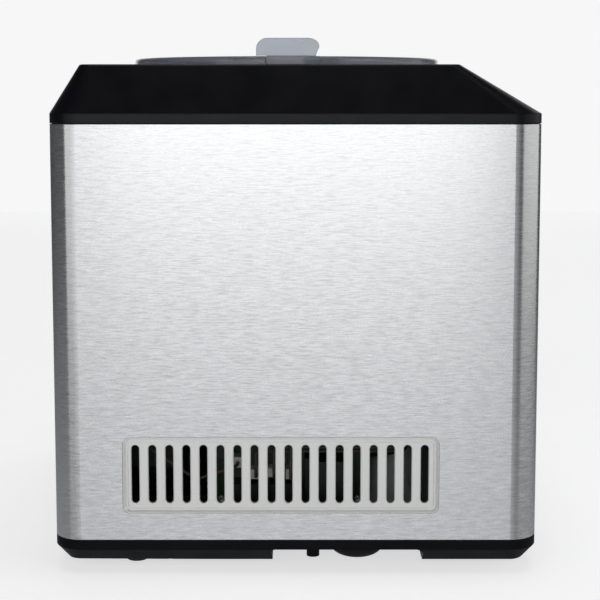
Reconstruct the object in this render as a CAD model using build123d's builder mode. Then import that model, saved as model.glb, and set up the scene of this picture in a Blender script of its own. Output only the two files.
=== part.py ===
from build123d import *
import os
from math import acos, atan2, cos, hypot, pi, radians, sin, tan

os.makedirs("parts", exist_ok=True)

# Compressor ice cream maker. Millimetres. +Z up, front is -Y, rear is +Y, left is -X.
# The origin is at the middle of the footprint, on the surface that the feet stand on.

# ------------------------------------------------------------------ driving dimensions

# body
BODY_WIDTH = 273.0
BODY_DEPTH = 286.0
BODY_CORNER = 17.0
HALF_WIDTH = BODY_WIDTH / 2
HALF_DEPTH = BODY_DEPTH / 2

# levels of the casing
BASE_BOTTOM = 5.5
SKIRT_BOTTOM = 14.5
SHELL_BOTTOM = 20.5
SHELL_TOP = 264.0
COVER_SKIRT_TOP = 270.0
COVER_TOP = 298.4

# casing details
BASE_INSET = 8.6
BASE_WALL = 2.5
SHELL_WALL = 0.8
COVER_WALL = 2.5
COVER_TOP_CORNER = 6.0
LIP_GAP = 0.3
LIP_HEIGHT = 6.0
SLOPE_FRONT = 47.2
SLOPE_SIDE = 17.0

# side pockets of the base, with the large feet in them
POCKET_FRONT = -76.0
POCKET_REAR = 14.5
POCKET_INNER = 78.0
POCKET_REAR_CORNER = 2.5
POCKET_FRONT_CORNER = 5.0
POCKET_ROOF = 17.0

# vent grilles
VENT_Y = 8.6
VENT_Z = 59.05
VENT_LENGTH = 185.2
VENT_HEIGHT = 45.7
VENT_CORNER = 4.6
SLOT_COUNT = 18
SLOT_PITCH = 9.965
SLOT_WIDTH = 4.5
SLOT_HEIGHT = 34.6
SLOT_Y = 9.1
SLOT_Z = 59.7

# well, bowl, lid, all on one upright axis
AXIS_Y = 6.2
LID_RADIUS = 100.0
LID_TOP = 303.6
LID_PLATE = 2.6
OPENING_RADIUS = 92.0
WELL_RADIUS = 83.5
WELL_WALL = 1.2
WELL_FLOOR = 155.5
FLANGE_TOP = 284.4
FLANGE_RADIUS = 104.0
BOWL_RADIUS = 82.5
BOWL_WALL = 1.5
BOWL_BOTTOM = 156.0
BOWL_TOP = 290.5
INSULATION_RADIUS = 106.0

# drive train
SHAFT_RADIUS = 6.0
SHAFT_SQUARE = 8.0
GEAR_MODULE = 1.0
OUTPUT_TEETH = 48
IDLER_SMALL_TEETH = 12
IDLER_LARGE_TEETH = 40
PINION_TEETH = 10
IDLER_Y = AXIS_Y - GEAR_MODULE * (OUTPUT_TEETH + IDLER_SMALL_TEETH) / 2
MOTOR_Y = IDLER_Y - GEAR_MODULE * (IDLER_LARGE_TEETH + PINION_TEETH) / 2
MOTOR_RADIUS = 27.0

# machinery
PLATE_BOTTOM = POCKET_ROOF
PLATE_TOP = PLATE_BOTTOM + 1.2
SUPPORT_BOTTOM = 139.0
SUPPORT_TOP = 140.4
COMPRESSOR_X = -22.0
COMPRESSOR_Y = 88.0
COMPRESSOR_RADIUS = 46.0
FAN_Y = 2.0
FAN_Z = 66.0
FAN_RADIUS = 40.0

# control panel on the front slope
SLOPE_RISE = COVER_TOP - COVER_SKIRT_TOP
SLOPE_ANGLE = atan2(SLOPE_RISE, SLOPE_FRONT)
SLOPE_MIDDLE_Y = -HALF_DEPTH + SLOPE_FRONT / 2
SLOPE_MIDDLE_Z = (COVER_SKIRT_TOP + COVER_TOP) / 2
FASCIA_LENGTH = 200.0
FASCIA_HEIGHT = 40.0
FASCIA_THICKNESS = 1.0
BUTTON_RADIUS = 7.6
BUTTON_PLACES = {
    "power_button": -80.0,
    "start_button": -54.0,
    "minus_button": 48.0,
    "plus_button": 68.0,
    "mode_button": 88.0,
}


# ------------------------------------------------------------------ shared shapes


def slope_plane(depth):
    """Plane parallel to the front slope, the given depth below its surface."""
    normal = Vector(0, -sin(SLOPE_ANGLE), cos(SLOPE_ANGLE))
    middle = Vector(0, SLOPE_MIDDLE_Y, SLOPE_MIDDLE_Z)
    return Plane(origin=middle - normal * depth, x_dir=(1, 0, 0), z_dir=normal)


def base_block(inset, bottom, top):
    """Base outline: a chamfered bottom under an upright skirt, every face moved in by inset."""
    width = BODY_WIDTH - 2 * inset
    depth = BODY_DEPTH - 2 * inset
    radius = BODY_CORNER - inset
    with BuildPart() as outline:
        with BuildSketch(Plane.XY.offset(bottom)):
            RectangleRounded(width - 2 * BASE_INSET, depth - 2 * BASE_INSET, radius * 0.4)
        with BuildSketch(Plane.XY.offset(SKIRT_BOTTOM)):
            RectangleRounded(width, depth, radius)
        loft()
        with BuildSketch(Plane.XY.offset(SKIRT_BOTTOM)):
            RectangleRounded(width, depth, radius)
        extrude(amount=top - SKIRT_BOTTOM)
    return outline.part


def cover_block(inset, bottom):
    """Top cover outline: a skirt and four sloping sides up to a flat top, moved in by inset."""
    side_wall = inset * hypot(SLOPE_RISE, SLOPE_SIDE) / SLOPE_RISE
    front_wall = inset * hypot(SLOPE_RISE, SLOPE_FRONT) / SLOPE_RISE
    lift = (SLOPE_RISE - inset) / SLOPE_RISE
    half_top = HALF_WIDTH - SLOPE_SIDE * lift - side_wall
    rear_top = HALF_DEPTH - SLOPE_SIDE * lift - side_wall
    front_top = -HALF_DEPTH + SLOPE_FRONT * lift + front_wall
    skirt_top = COVER_SKIRT_TOP - 0.4 * inset
    with BuildPart() as outline:
        with BuildSketch(Plane.XY.offset(skirt_top)):
            RectangleRounded(BODY_WIDTH - 2 * inset, BODY_DEPTH - 2 * inset, BODY_CORNER - inset)
        with BuildSketch(Plane.XY.offset(COVER_TOP - inset)):
            with Locations((0, (rear_top + front_top) / 2)):
                RectangleRounded(2 * half_top, rear_top - front_top, COVER_TOP_CORNER - inset)
        loft(ruled=True)
        with BuildSketch(Plane.XY.offset(bottom)):
            RectangleRounded(BODY_WIDTH - 2 * inset, BODY_DEPTH - 2 * inset, BODY_CORNER - inset)
        extrude(amount=skirt_top - bottom)
    return outline.part


def screw(seat, length, radius=1.9, head_radius=3.6, head_height=2.2):
    """Pan head screw: the head lies on the near side of its seat plane, the thread on the far side."""
    with BuildPart() as body:
        with BuildSketch(seat.offset(-head_height)):
            Circle(head_radius)
        extrude(amount=head_height)
        fillet(body.faces().sort_by(Axis(seat.origin, seat.z_dir))[0].edges(), 0.8)
        with BuildSketch(seat):
            Circle(radius)
        extrude(amount=length)
        with BuildSketch(seat.offset(-head_height)):
            Rectangle(head_radius, 0.9)
            Rectangle(0.9, head_radius)
        extrude(amount=1.2, mode=Mode.SUBTRACT)
    return body.part


def tube_along(points, bends, radius):
    """Round tube along straight runs that are joined by tangent arcs."""
    with BuildPart() as tube:
        with BuildLine() as path:
            FilletPolyline(*points, radius=bends)
        with BuildSketch(Plane(origin=path.wire() @ 0, z_dir=path.wire() % 0)):
            Circle(radius)
        sweep(path=path.wire(), transition=Transition.ROUND)
    return tube.part


def gear_outline(teeth, backlash=0.16):
    """Points of an involute spur gear, tooth by tooth, from the module and the tooth count."""
    pitch_radius = GEAR_MODULE * teeth / 2
    base_radius = pitch_radius * cos(radians(20))
    tip_radius = pitch_radius + 0.95 * GEAR_MODULE
    root_radius = pitch_radius - 1.25 * GEAR_MODULE
    start_radius = max(base_radius, root_radius)
    half_angle = pi / (2 * teeth) - backlash / (2 * pitch_radius)
    half_angle += tan(radians(20)) - radians(20)
    points = []
    steps = 4
    for tooth in range(teeth):
        middle = 2 * pi * tooth / teeth
        flank = []
        for step in range(steps + 1):
            radius = start_radius + (tip_radius - start_radius) * step / steps
            roll = acos(min(1.0, base_radius / radius))
            flank.append((radius, half_angle - tan(roll) + roll))
        if root_radius < start_radius:
            flank.insert(0, (root_radius, flank[0][1]))
        for radius, angle in flank:
            points.append((radius * cos(middle - angle), radius * sin(middle - angle)))
        for radius, angle in reversed(flank):
            points.append((radius * cos(middle + angle), radius * sin(middle + angle)))
    return points


def gear_disc(x, y, teeth, turn, bottom, top):
    """Toothed disc with one tooth turned from +X by the given angle."""
    plane = Plane(origin=(x, y, bottom), x_dir=(cos(radians(turn)), sin(radians(turn)), 0))
    with BuildPart() as disc:
        with BuildSketch(plane):
            with BuildLine():
                Polyline(*gear_outline(teeth), close=True)
            make_face()
        extrude(amount=top - bottom)
    return disc.part


# ------------------------------------------------------------------ base pan

FOOT_X = 99.4
FOOT_Y = -37.3
REAR_FOOT_X = 108.0
REAR_FOOT_Y = 96.3
FRONT_FOOT_X = 84.0
FRONT_FOOT_Y = -112.0
PEG_X = 119.0
PEG_Y = -10.4
PEG_RADIUS = 3.85
SCREW_POCKET_X = 125.3
SCREW_POCKET_Y = 74.3
SCREW_POCKET_RADIUS = 3.4
SCREW_POCKET_ROOF = 11.5
POST_X = 118.5
POST_REAR_Y = 124.5
POST_FRONT_Y = -124.5

# the hollow of the base leaves walls round the two side pockets and round the screw pockets
base_outline = base_block(0.0, BASE_BOTTOM, SHELL_BOTTOM)
base_hollow_outline = base_block(BASE_WALL, BASE_BOTTOM + BASE_WALL, SHELL_BOTTOM + LIP_HEIGHT)

with BuildPart() as base_hollow:
    add(base_hollow_outline)
    for side in (-1, 1):
        with BuildSketch(Plane.XY):
            with Locations((side * (POCKET_INNER + HALF_WIDTH) / 2, (POCKET_FRONT + POCKET_REAR) / 2)):
                Rectangle(
                    HALF_WIDTH - POCKET_INNER + 2 * BASE_WALL,
                    POCKET_REAR - POCKET_FRONT + 2 * BASE_WALL,
                )
        extrude(amount=POCKET_ROOF, mode=Mode.SUBTRACT)
        with BuildSketch(Plane.XY):
            with Locations(
                (side * SCREW_POCKET_X, SCREW_POCKET_Y),
                (side * REAR_FOOT_X, REAR_FOOT_Y),
                (side * FRONT_FOOT_X, FRONT_FOOT_Y),
            ):
                Circle(SCREW_POCKET_RADIUS + BASE_WALL)
        extrude(amount=POCKET_ROOF, mode=Mode.SUBTRACT)
    # cross ribs that carry the chassis plate
    with BuildSketch(Plane.XY):
        with Locations((0, -98), (0, 64), (0, 110)):
            Rectangle(2 * POST_X, 2.0)
    extrude(amount=POCKET_ROOF, mode=Mode.SUBTRACT)

with BuildPart() as base_pan:
    add(base_outline)
    bottom_edges = base_pan.edges().filter_by(lambda e: e.center().Z < BASE_BOTTOM + 0.1)
    fillet(bottom_edges, 4.0)
    # lip that locates the steel shell from inside
    with BuildSketch(Plane.XY.offset(SHELL_BOTTOM)):
        RectangleRounded(
            BODY_WIDTH - 2 * (SHELL_WALL + LIP_GAP),
            BODY_DEPTH - 2 * (SHELL_WALL + LIP_GAP),
            BODY_CORNER - SHELL_WALL - LIP_GAP,
        )
    extrude(amount=LIP_HEIGHT)
    add(base_hollow.part, mode=Mode.SUBTRACT)
    # the rear part of the underside rises slightly
    with BuildSketch(Plane.YZ):
        with BuildLine():
            Polyline(
                (POCKET_REAR, BASE_BOTTOM - 1.0),
                (POCKET_REAR, BASE_BOTTOM),
                (HALF_DEPTH, BASE_BOTTOM + 1.3),
                (HALF_DEPTH, BASE_BOTTOM - 1.0),
                close=True,
            )
        make_face()
    extrude(amount=HALF_WIDTH, both=True, mode=Mode.SUBTRACT)
    for side in (-1, 1):
        # side pocket with rounded upper corners
        with BuildSketch(Plane.YZ.offset(side * (HALF_WIDTH + 2.0))):
            with BuildLine():
                Polyline(
                    (POCKET_FRONT + 1.0, BASE_BOTTOM - 2.0),
                    (POCKET_FRONT, SKIRT_BOTTOM),
                    (POCKET_REAR, SKIRT_BOTTOM),
                    (POCKET_REAR - 1.0, BASE_BOTTOM - 2.0),
                    close=True,
                )
            make_face()
            roof = vertices().group_by(Axis.Y)[-1].sort_by(Axis.X)
            fillet(roof[-1], POCKET_REAR_CORNER)
            roof = vertices().sort_by(Axis.X)[0:2].sort_by(Axis.Y)
            fillet(roof[-1], POCKET_FRONT_CORNER)
        extrude(amount=-side * (HALF_WIDTH + 2.0 - POCKET_INNER), mode=Mode.SUBTRACT)
        # round peg under the pocket roof
        with BuildSketch(Plane.XY.offset(BASE_BOTTOM)):
            with Locations((side * PEG_X, PEG_Y)):
                Circle(PEG_RADIUS)
        extrude(amount=SKIRT_BOTTOM - BASE_BOTTOM + 0.5)
        # screw pocket in the chamfer
        with BuildSketch(Plane.XY):
            with Locations((side * SCREW_POCKET_X, SCREW_POCKET_Y)):
                Circle(SCREW_POCKET_RADIUS)
        extrude(amount=SCREW_POCKET_ROOF, mode=Mode.SUBTRACT)
        # screw holes
        with BuildSketch(Plane.XY):
            with Locations(
                (side * SCREW_POCKET_X, SCREW_POCKET_Y),
                (side * FOOT_X, FOOT_Y),
                (side * REAR_FOOT_X, REAR_FOOT_Y),
                (side * FRONT_FOOT_X, FRONT_FOOT_Y),
            ):
                Circle(2.0)
        extrude(amount=POCKET_ROOF + 1.0, mode=Mode.SUBTRACT)
    # air slots in the floor
    with BuildSketch(Plane.XY):
        with GridLocations(11.0, 40.0, 9, 2):
            SlotOverall(30.0, 4.0, rotation=90)
        with Locations((0, 92)):
            with GridLocations(11.0, 1.0, 9, 1):
                SlotOverall(34.0, 4.0, rotation=90)
    extrude(amount=BASE_BOTTOM + 2 * BASE_WALL, mode=Mode.SUBTRACT)

base_pan.part.label = "base_pan"
export_step(base_pan.part, "parts/base_pan.step")

# ------------------------------------------------------------------ feet

FOOT_RADIUS = 16.2
SMALL_FOOT_RADIUS = 8.0

with BuildPart() as side_feet:
    for side in (-1, 1):
        plane = Plane(origin=(side * FOOT_X, FOOT_Y, 0), x_dir=(1, 0, 0), z_dir=(0, -1, 0))
        with BuildSketch(plane):
            with BuildLine():
                Line((2.1, 6.0), (2.1, SKIRT_BOTTOM))
                Line((2.1, SKIRT_BOTTOM), (FOOT_RADIUS - 1.5, SKIRT_BOTTOM))
                Line((FOOT_RADIUS - 1.5, SKIRT_BOTTOM), (FOOT_RADIUS, SKIRT_BOTTOM - 2.0))
                Line((FOOT_RADIUS, SKIRT_BOTTOM - 2.0), (FOOT_RADIUS, 7.5))
                Bezier((FOOT_RADIUS, 7.5), (FOOT_RADIUS, 1.6), (7.0, 0))
                Line((7.0, 0), (5.0, 0))
                Line((5.0, 0), (5.0, 6.0))
                Line((5.0, 6.0), (2.1, 6.0))
            make_face()
        revolve(axis=Axis((side * FOOT_X, FOOT_Y, 0), (0, 0, 1)))

side_feet.part.label = "side_feet"
export_step(side_feet.part, "parts/side_feet.step")


def small_feet(x, y, top):
    """Pair of small stepped rubber feet with a plug in the base."""
    with BuildPart() as feet:
        for side in (-1, 1):
            plane = Plane(origin=(side * x, y, 0), x_dir=(1, 0, 0), z_dir=(0, -1, 0))
            with BuildSketch(plane):
                with BuildLine():
                    Polyline(
                        (2.1, 2.6),
                        (2.1, top),
                        (SMALL_FOOT_RADIUS, top),
                        (SMALL_FOOT_RADIUS, 1.8),
                        (SMALL_FOOT_RADIUS - 1.8, 0),
                        (4.4, 0),
                        (4.4, 2.6),
                        close=True,
                    )
                make_face()
            revolve(axis=Axis((side * x, y, 0), (0, 0, 1)))
    return feet.part


rear_feet_solids = small_feet(REAR_FOOT_X, REAR_FOOT_Y, BASE_BOTTOM + 0.7)
front_feet_solids = small_feet(FRONT_FOOT_X, FRONT_FOOT_Y, BASE_BOTTOM)
with BuildPart() as small_feet_group:
    add(rear_feet_solids)
    add(front_feet_solids)
small_feet_group.part.label = "small_feet"
export_step(small_feet_group.part, "parts/small_feet.step")

# ------------------------------------------------------------------ steel shell

INLET_X = 70.0
INLET_Z = 48.0
INLET_WIDTH = 27.6
INLET_HEIGHT = 20.0
INLET_SCREW_SPAN = 40.0
INLET_SCREW_RECESS = 2.5
REAR_SLOT_X = -40.0

with BuildPart() as steel_shell:
    with BuildSketch(Plane.XY.offset(SHELL_BOTTOM)):
        RectangleRounded(BODY_WIDTH, BODY_DEPTH, BODY_CORNER)
        RectangleRounded(
            BODY_WIDTH - 2 * SHELL_WALL,
            BODY_DEPTH - 2 * SHELL_WALL,
            BODY_CORNER - SHELL_WALL,
            mode=Mode.SUBTRACT,
        )
    extrude(amount=SHELL_TOP - SHELL_BOTTOM)
    # openings for the vent grilles, through both sides
    with BuildSketch(Plane.YZ):
        with Locations((VENT_Y, VENT_Z)):
            RectangleRounded(VENT_LENGTH, VENT_HEIGHT, VENT_CORNER)
    extrude(amount=HALF_WIDTH + 1.0, both=True, mode=Mode.SUBTRACT)
    # rear wall: opening for the power inlet, its screws and a row of air slots
    with BuildSketch(Plane.XZ.offset(-HALF_DEPTH - 1.0)):
        with Locations((INLET_X, INLET_Z)):
            RectangleRounded(INLET_WIDTH, INLET_HEIGHT, 2.0)
            with GridLocations(INLET_SCREW_SPAN, 1.0, 2, 1):
                Circle(INLET_SCREW_RECESS + 0.1)
        with Locations((REAR_SLOT_X, VENT_Z)):
            with GridLocations(SLOT_PITCH, 1.0, 12, 1):
                SlotOverall(SLOT_HEIGHT, SLOT_WIDTH, rotation=90)
    extrude(amount=20.0, mode=Mode.SUBTRACT)

steel_shell.part.label = "steel_shell"
export_step(steel_shell.part, "parts/steel_shell.step")

# ------------------------------------------------------------------ vent grilles

GRILLE_GAP = 0.1
GRILLE_BEVEL = 1.5
GRILLE_GROOVE = 0.9
GRILLE_FIELD_RISE = 0.5
GRILLE_FLANGE = 4.0
GRILLE_FLANGE_DEPTH = SHELL_WALL
GRILLE_BACK = 2.8


def vent_grille(side):
    """Stepped grille: a bevelled recess inside the shell's opening, then a raised slotted field."""
    face = Plane(origin=(side * HALF_WIDTH, VENT_Y, VENT_Z), x_dir=(0, side, 0), z_dir=(side, 0, 0))
    slot_shift = side * (SLOT_Y - VENT_Y)
    length = VENT_LENGTH - 2 * GRILLE_GAP
    height = VENT_HEIGHT - 2 * GRILLE_GAP
    with BuildPart() as grille:
        with BuildSketch(face.offset(-0.15)):
            RectangleRounded(length, height, VENT_CORNER - GRILLE_GAP)
        extrude(amount=-(GRILLE_FLANGE_DEPTH - 0.15))
        with BuildSketch(face.offset(-GRILLE_FLANGE_DEPTH)):
            RectangleRounded(length + 2 * GRILLE_FLANGE, height + 2 * GRILLE_FLANGE, VENT_CORNER)
        extrude(amount=-(GRILLE_BACK - GRILLE_FLANGE_DEPTH))
        # bevelled recess
        with BuildSketch(face):
            RectangleRounded(length - 0.6, height - 0.6, VENT_CORNER - 0.4)
        with BuildSketch(face.offset(-GRILLE_BEVEL)):
            RectangleRounded(
                length - 0.6 - 2 * GRILLE_BEVEL, height - 0.6 - 2 * GRILLE_BEVEL, VENT_CORNER - 1.4
            )
        loft(mode=Mode.SUBTRACT)
        # raised field inside a narrow groove
        inner = 0.6 + 2 * GRILLE_BEVEL + 2 * GRILLE_GROOVE
        with BuildSketch(face.offset(-GRILLE_BEVEL - 0.01)):
            RectangleRounded(length - inner, height - inner, VENT_CORNER - 1.8)
        with BuildSketch(face.offset(-GRILLE_BEVEL + GRILLE_FIELD_RISE)):
            RectangleRounded(
                length - inner - 2 * GRILLE_FIELD_RISE,
                height - inner - 2 * GRILLE_FIELD_RISE,
                VENT_CORNER - 2.2,
            )
        loft()
        # bevelled slots
        with BuildSketch(face.offset(-GRILLE_BEVEL + GRILLE_FIELD_RISE + 0.01)):
            with Locations((slot_shift, SLOT_Z - VENT_Z)):
                with GridLocations(SLOT_PITCH, 1.0, SLOT_COUNT, 1):
                    SlotOverall(SLOT_HEIGHT, SLOT_WIDTH, rotation=90)
        extrude(amount=-GRILLE_BACK, mode=Mode.SUBTRACT)
        level = HALF_WIDTH - GRILLE_BEVEL + GRILLE_FIELD_RISE
        upright_faces = grille.faces().filter_by(Axis.X).sort_by(SortBy.AREA)
        field = [face for face in upright_faces if abs(abs(face.center().X) - level) < 0.05]
        rims = [e for wire in field[-1].inner_wires() for e in wire.edges()]
        chamfer(rims, 0.45)
    return grille.part


left_grille = vent_grille(-1)
with BuildPart() as left_vent_grille:
    add(left_grille)
left_vent_grille.part.label = "left_vent_grille"
export_step(left_vent_grille.part, "parts/left_vent_grille.step")

right_grille = vent_grille(1)
with BuildPart() as right_vent_grille:
    add(right_grille)
right_vent_grille.part.label = "right_vent_grille"
export_step(right_vent_grille.part, "parts/right_vent_grille.step")

# ------------------------------------------------------------------ top cover

COVER_BOTTOM = SHELL_TOP + 0.4
COLLAR_BOTTOM = FLANGE_TOP + 1.6
COLLAR_WALL = 4.0
WINDOW_LENGTH = 62.0
WINDOW_HEIGHT = 26.0
WINDOW_LEDGE = 3.0
BOARD_DEPTH = 8.0
BOARD_SCREWS = [(-92.0, -14.5), (-30.0, -14.5), (30.0, -14.5), (92.0, -14.5)]
WELL_SCREW_CIRCLE = 99.0
WELL_SCREWS = [
    (WELL_SCREW_CIRCLE * cos(radians(angle)), AXIS_Y + WELL_SCREW_CIRCLE * sin(radians(angle)))
    for angle in (45, 135, 225, 315)
]

cover_outline = cover_block(0.0, COVER_BOTTOM)
cover_hollow = cover_block(COVER_WALL, COVER_BOTTOM - LIP_HEIGHT)

with BuildPart() as top_cover:
    add(cover_outline)
    fillet(top_cover.faces().sort_by(Axis.Z)[-1].edges(), 1.6)
    # lip that enters the steel shell
    with BuildSketch(Plane.XY.offset(COVER_BOTTOM - LIP_HEIGHT)):
        RectangleRounded(
            BODY_WIDTH - 2 * (SHELL_WALL + LIP_GAP),
            BODY_DEPTH - 2 * (SHELL_WALL + LIP_GAP),
            BODY_CORNER - SHELL_WALL - LIP_GAP,
        )
    extrude(amount=LIP_HEIGHT + 2.0)
    add(cover_hollow, mode=Mode.SUBTRACT)
    # collar round the opening, and the opening
    with BuildSketch(Plane.XY.offset(COLLAR_BOTTOM)):
        with Locations((0, AXIS_Y)):
            Circle(OPENING_RADIUS + COLLAR_WALL)
    extrude(amount=COVER_TOP - COLLAR_BOTTOM - 0.5)
    # bosses for the well's screws
    with BuildSketch(Plane.XY.offset(FLANGE_TOP)):
        with Locations(*WELL_SCREWS):
            Circle(4.5)
    extrude(amount=COVER_TOP - FLANGE_TOP - 1.0)
    # bosses for the corner posts
    with BuildSketch(Plane.XY.offset(SHELL_TOP)):
        with Locations((POST_X, POST_REAR_Y), (-POST_X, POST_REAR_Y)):
            Circle(5.0)
    extrude(amount=24.0)
    with BuildSketch(Plane.XY.offset(SHELL_TOP)):
        with Locations((POST_X, POST_FRONT_Y), (-POST_X, POST_FRONT_Y)):
            Circle(5.0)
    extrude(amount=13.5)
    with BuildSketch(Plane.XY.offset(COLLAR_BOTTOM - 5.0)):
        with Locations((0, AXIS_Y)):
            Circle(OPENING_RADIUS)
    extrude(amount=COVER_TOP, mode=Mode.SUBTRACT)
    # control panel: recess for the fascia, bosses for the board, window and button holes
    with BuildSketch(slope_plane(FASCIA_THICKNESS)):
        RectangleRounded(FASCIA_LENGTH, FASCIA_HEIGHT, 3.0)
    extrude(amount=FASCIA_THICKNESS + 2.0, mode=Mode.SUBTRACT)
    with BuildSketch(slope_plane(BOARD_DEPTH)):
        with Locations(*BOARD_SCREWS):
            Circle(2.6)
    extrude(amount=BOARD_DEPTH - COVER_WALL + 0.5)
    with BuildSketch(slope_plane(BOARD_DEPTH)):
        RectangleRounded(WINDOW_LENGTH - 2 * WINDOW_LEDGE, WINDOW_HEIGHT - 2 * WINDOW_LEDGE, 1.5)
        with Locations(*[(place, 0) for place in BUTTON_PLACES.values()]):
            Circle(BUTTON_RADIUS + 0.4)
    extrude(amount=BOARD_DEPTH + 2.0, mode=Mode.SUBTRACT)
    # screw holes
    with BuildSketch(slope_plane(BOARD_DEPTH)):
        with Locations(*BOARD_SCREWS):
            Circle(1.25)
    extrude(amount=5.0, mode=Mode.SUBTRACT)
    with BuildSketch(Plane.XY.offset(FLANGE_TOP)):
        with Locations(*WELL_SCREWS):
            Circle(1.95)
    extrude(amount=9.0, mode=Mode.SUBTRACT)
    with BuildSketch(Plane.XY.offset(SHELL_TOP)):
        with GridLocations(2 * POST_X, POST_REAR_Y - POST_FRONT_Y, 2, 2):
            Circle(1.95)
    extrude(amount=10.0, mode=Mode.SUBTRACT)

top_cover.part.label = "top_cover"
export_step(top_cover.part, "parts/top_cover.step")

# ------------------------------------------------------------------ control panel

with BuildPart() as control_fascia:
    with BuildSketch(slope_plane(FASCIA_THICKNESS)):
        RectangleRounded(FASCIA_LENGTH - 0.4, FASCIA_HEIGHT - 0.4, 2.8)
        RectangleRounded(WINDOW_LENGTH + 0.3, WINDOW_HEIGHT + 0.3, 1.6, mode=Mode.SUBTRACT)
        with Locations(*[(place, 0) for place in BUTTON_PLACES.values()]):
            Circle(BUTTON_RADIUS + 0.4, mode=Mode.SUBTRACT)
    extrude(amount=FASCIA_THICKNESS - 0.05)
control_fascia.part.label = "control_fascia"
export_step(control_fascia.part, "parts/control_fascia.step")

with BuildPart() as display_window:
    with BuildSketch(slope_plane(FASCIA_THICKNESS)):
        RectangleRounded(WINDOW_LENGTH, WINDOW_HEIGHT, 1.5)
    extrude(amount=FASCIA_THICKNESS - 0.1)
display_window.part.label = "display_window"
export_step(display_window.part, "parts/display_window.step")

with BuildPart() as display_module:
    with BuildSketch(slope_plane(BOARD_DEPTH)):
        Rectangle(54.0, 18.0)
    extrude(amount=BOARD_DEPTH - COVER_WALL - 0.2)
    with BuildSketch(slope_plane(COVER_WALL + 0.2)):
        Rectangle(50.0, 15.0)
    extrude(amount=1.2)
display_module.part.label = "display_module"
export_step(display_module.part, "parts/display_module.step")

with BuildPart() as control_board:
    with BuildSketch(slope_plane(BOARD_DEPTH + 1.6)):
        with Locations((0, -3.0)):
            Rectangle(190.0, 28.0)
        with Locations(*BOARD_SCREWS):
            Circle(1.6, mode=Mode.SUBTRACT)
    extrude(amount=1.6)
    # key switches under the buttons
    with BuildSketch(slope_plane(BOARD_DEPTH)):
        with Locations(*[(place, 0) for place in BUTTON_PLACES.values()]):
            Rectangle(6.0, 6.0)
    extrude(amount=2.4)
    with BuildSketch(slope_plane(BOARD_DEPTH)):
        with Locations(*[(place, 0) for place in BUTTON_PLACES.values()]):
            Circle(1.7)
    extrude(amount=3.4)
control_board.part.label = "control_board"
export_step(control_board.part, "parts/control_board.step")

BUTTON_FLANGE_TOP = COVER_WALL + 0.1
BUTTON_FLANGE_BOTTOM = BUTTON_FLANGE_TOP + 1.2

for button_name, place in BUTTON_PLACES.items():
    with BuildPart() as button:
        with BuildSketch(slope_plane(BUTTON_FLANGE_BOTTOM)):
            with Locations((place, 0)):
                Circle(BUTTON_RADIUS + 1.4)
        extrude(amount=BUTTON_FLANGE_BOTTOM - BUTTON_FLANGE_TOP)
        with BuildSketch(slope_plane(BUTTON_FLANGE_TOP)):
            with Locations((place, 0)):
                Circle(BUTTON_RADIUS)
        extrude(amount=BUTTON_FLANGE_TOP - 0.1)
        crown = button.faces().sort_by(Axis(slope_plane(0).origin, slope_plane(0).z_dir))[-1]
        fillet(crown.edges(), 0.6)
    button.part.label = button_name
    export_step(button.part, f"parts/{button_name}.step")

# ------------------------------------------------------------------ lid and its flap

LID_RIM_BOTTOM = COVER_TOP + 0.15
LID_RIM_WALL = 2.5
LID_SKIRT_OUTER = 90.5
LID_SKIRT_BOTTOM = 292.0
PLATE_UNDERSIDE = LID_TOP - LID_PLATE
HINGE_X = -38.0
HINGE_Z = LID_TOP - 1.4
KNUCKLE_RADIUS = 2.0
PIN_RADIUS = 1.0
FLAP_TOP_RECESS = 1.9
FLAP_THICKNESS = 1.8
FLAP_HALF = 31.7
FLAP_OUTER_X = -83.7
FLAP_INNER_X = -41.0
HOLE_HALF = 27.0
HOLE_OUTER_X = -79.5
HOLE_INNER_X = -45.0
TONGUE_FRONT = -14.6
TONGUE_REAR = 17.6
TONGUE_GAP = 0.3
KNUCKLE_HALF = 20.0

radial_plane = Plane(origin=(0, AXIS_Y, 0), x_dir=(1, 0, 0), z_dir=(0, -1, 0))
well_axis = Axis((0, AXIS_Y, 0), (0, 0, 1))

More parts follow.
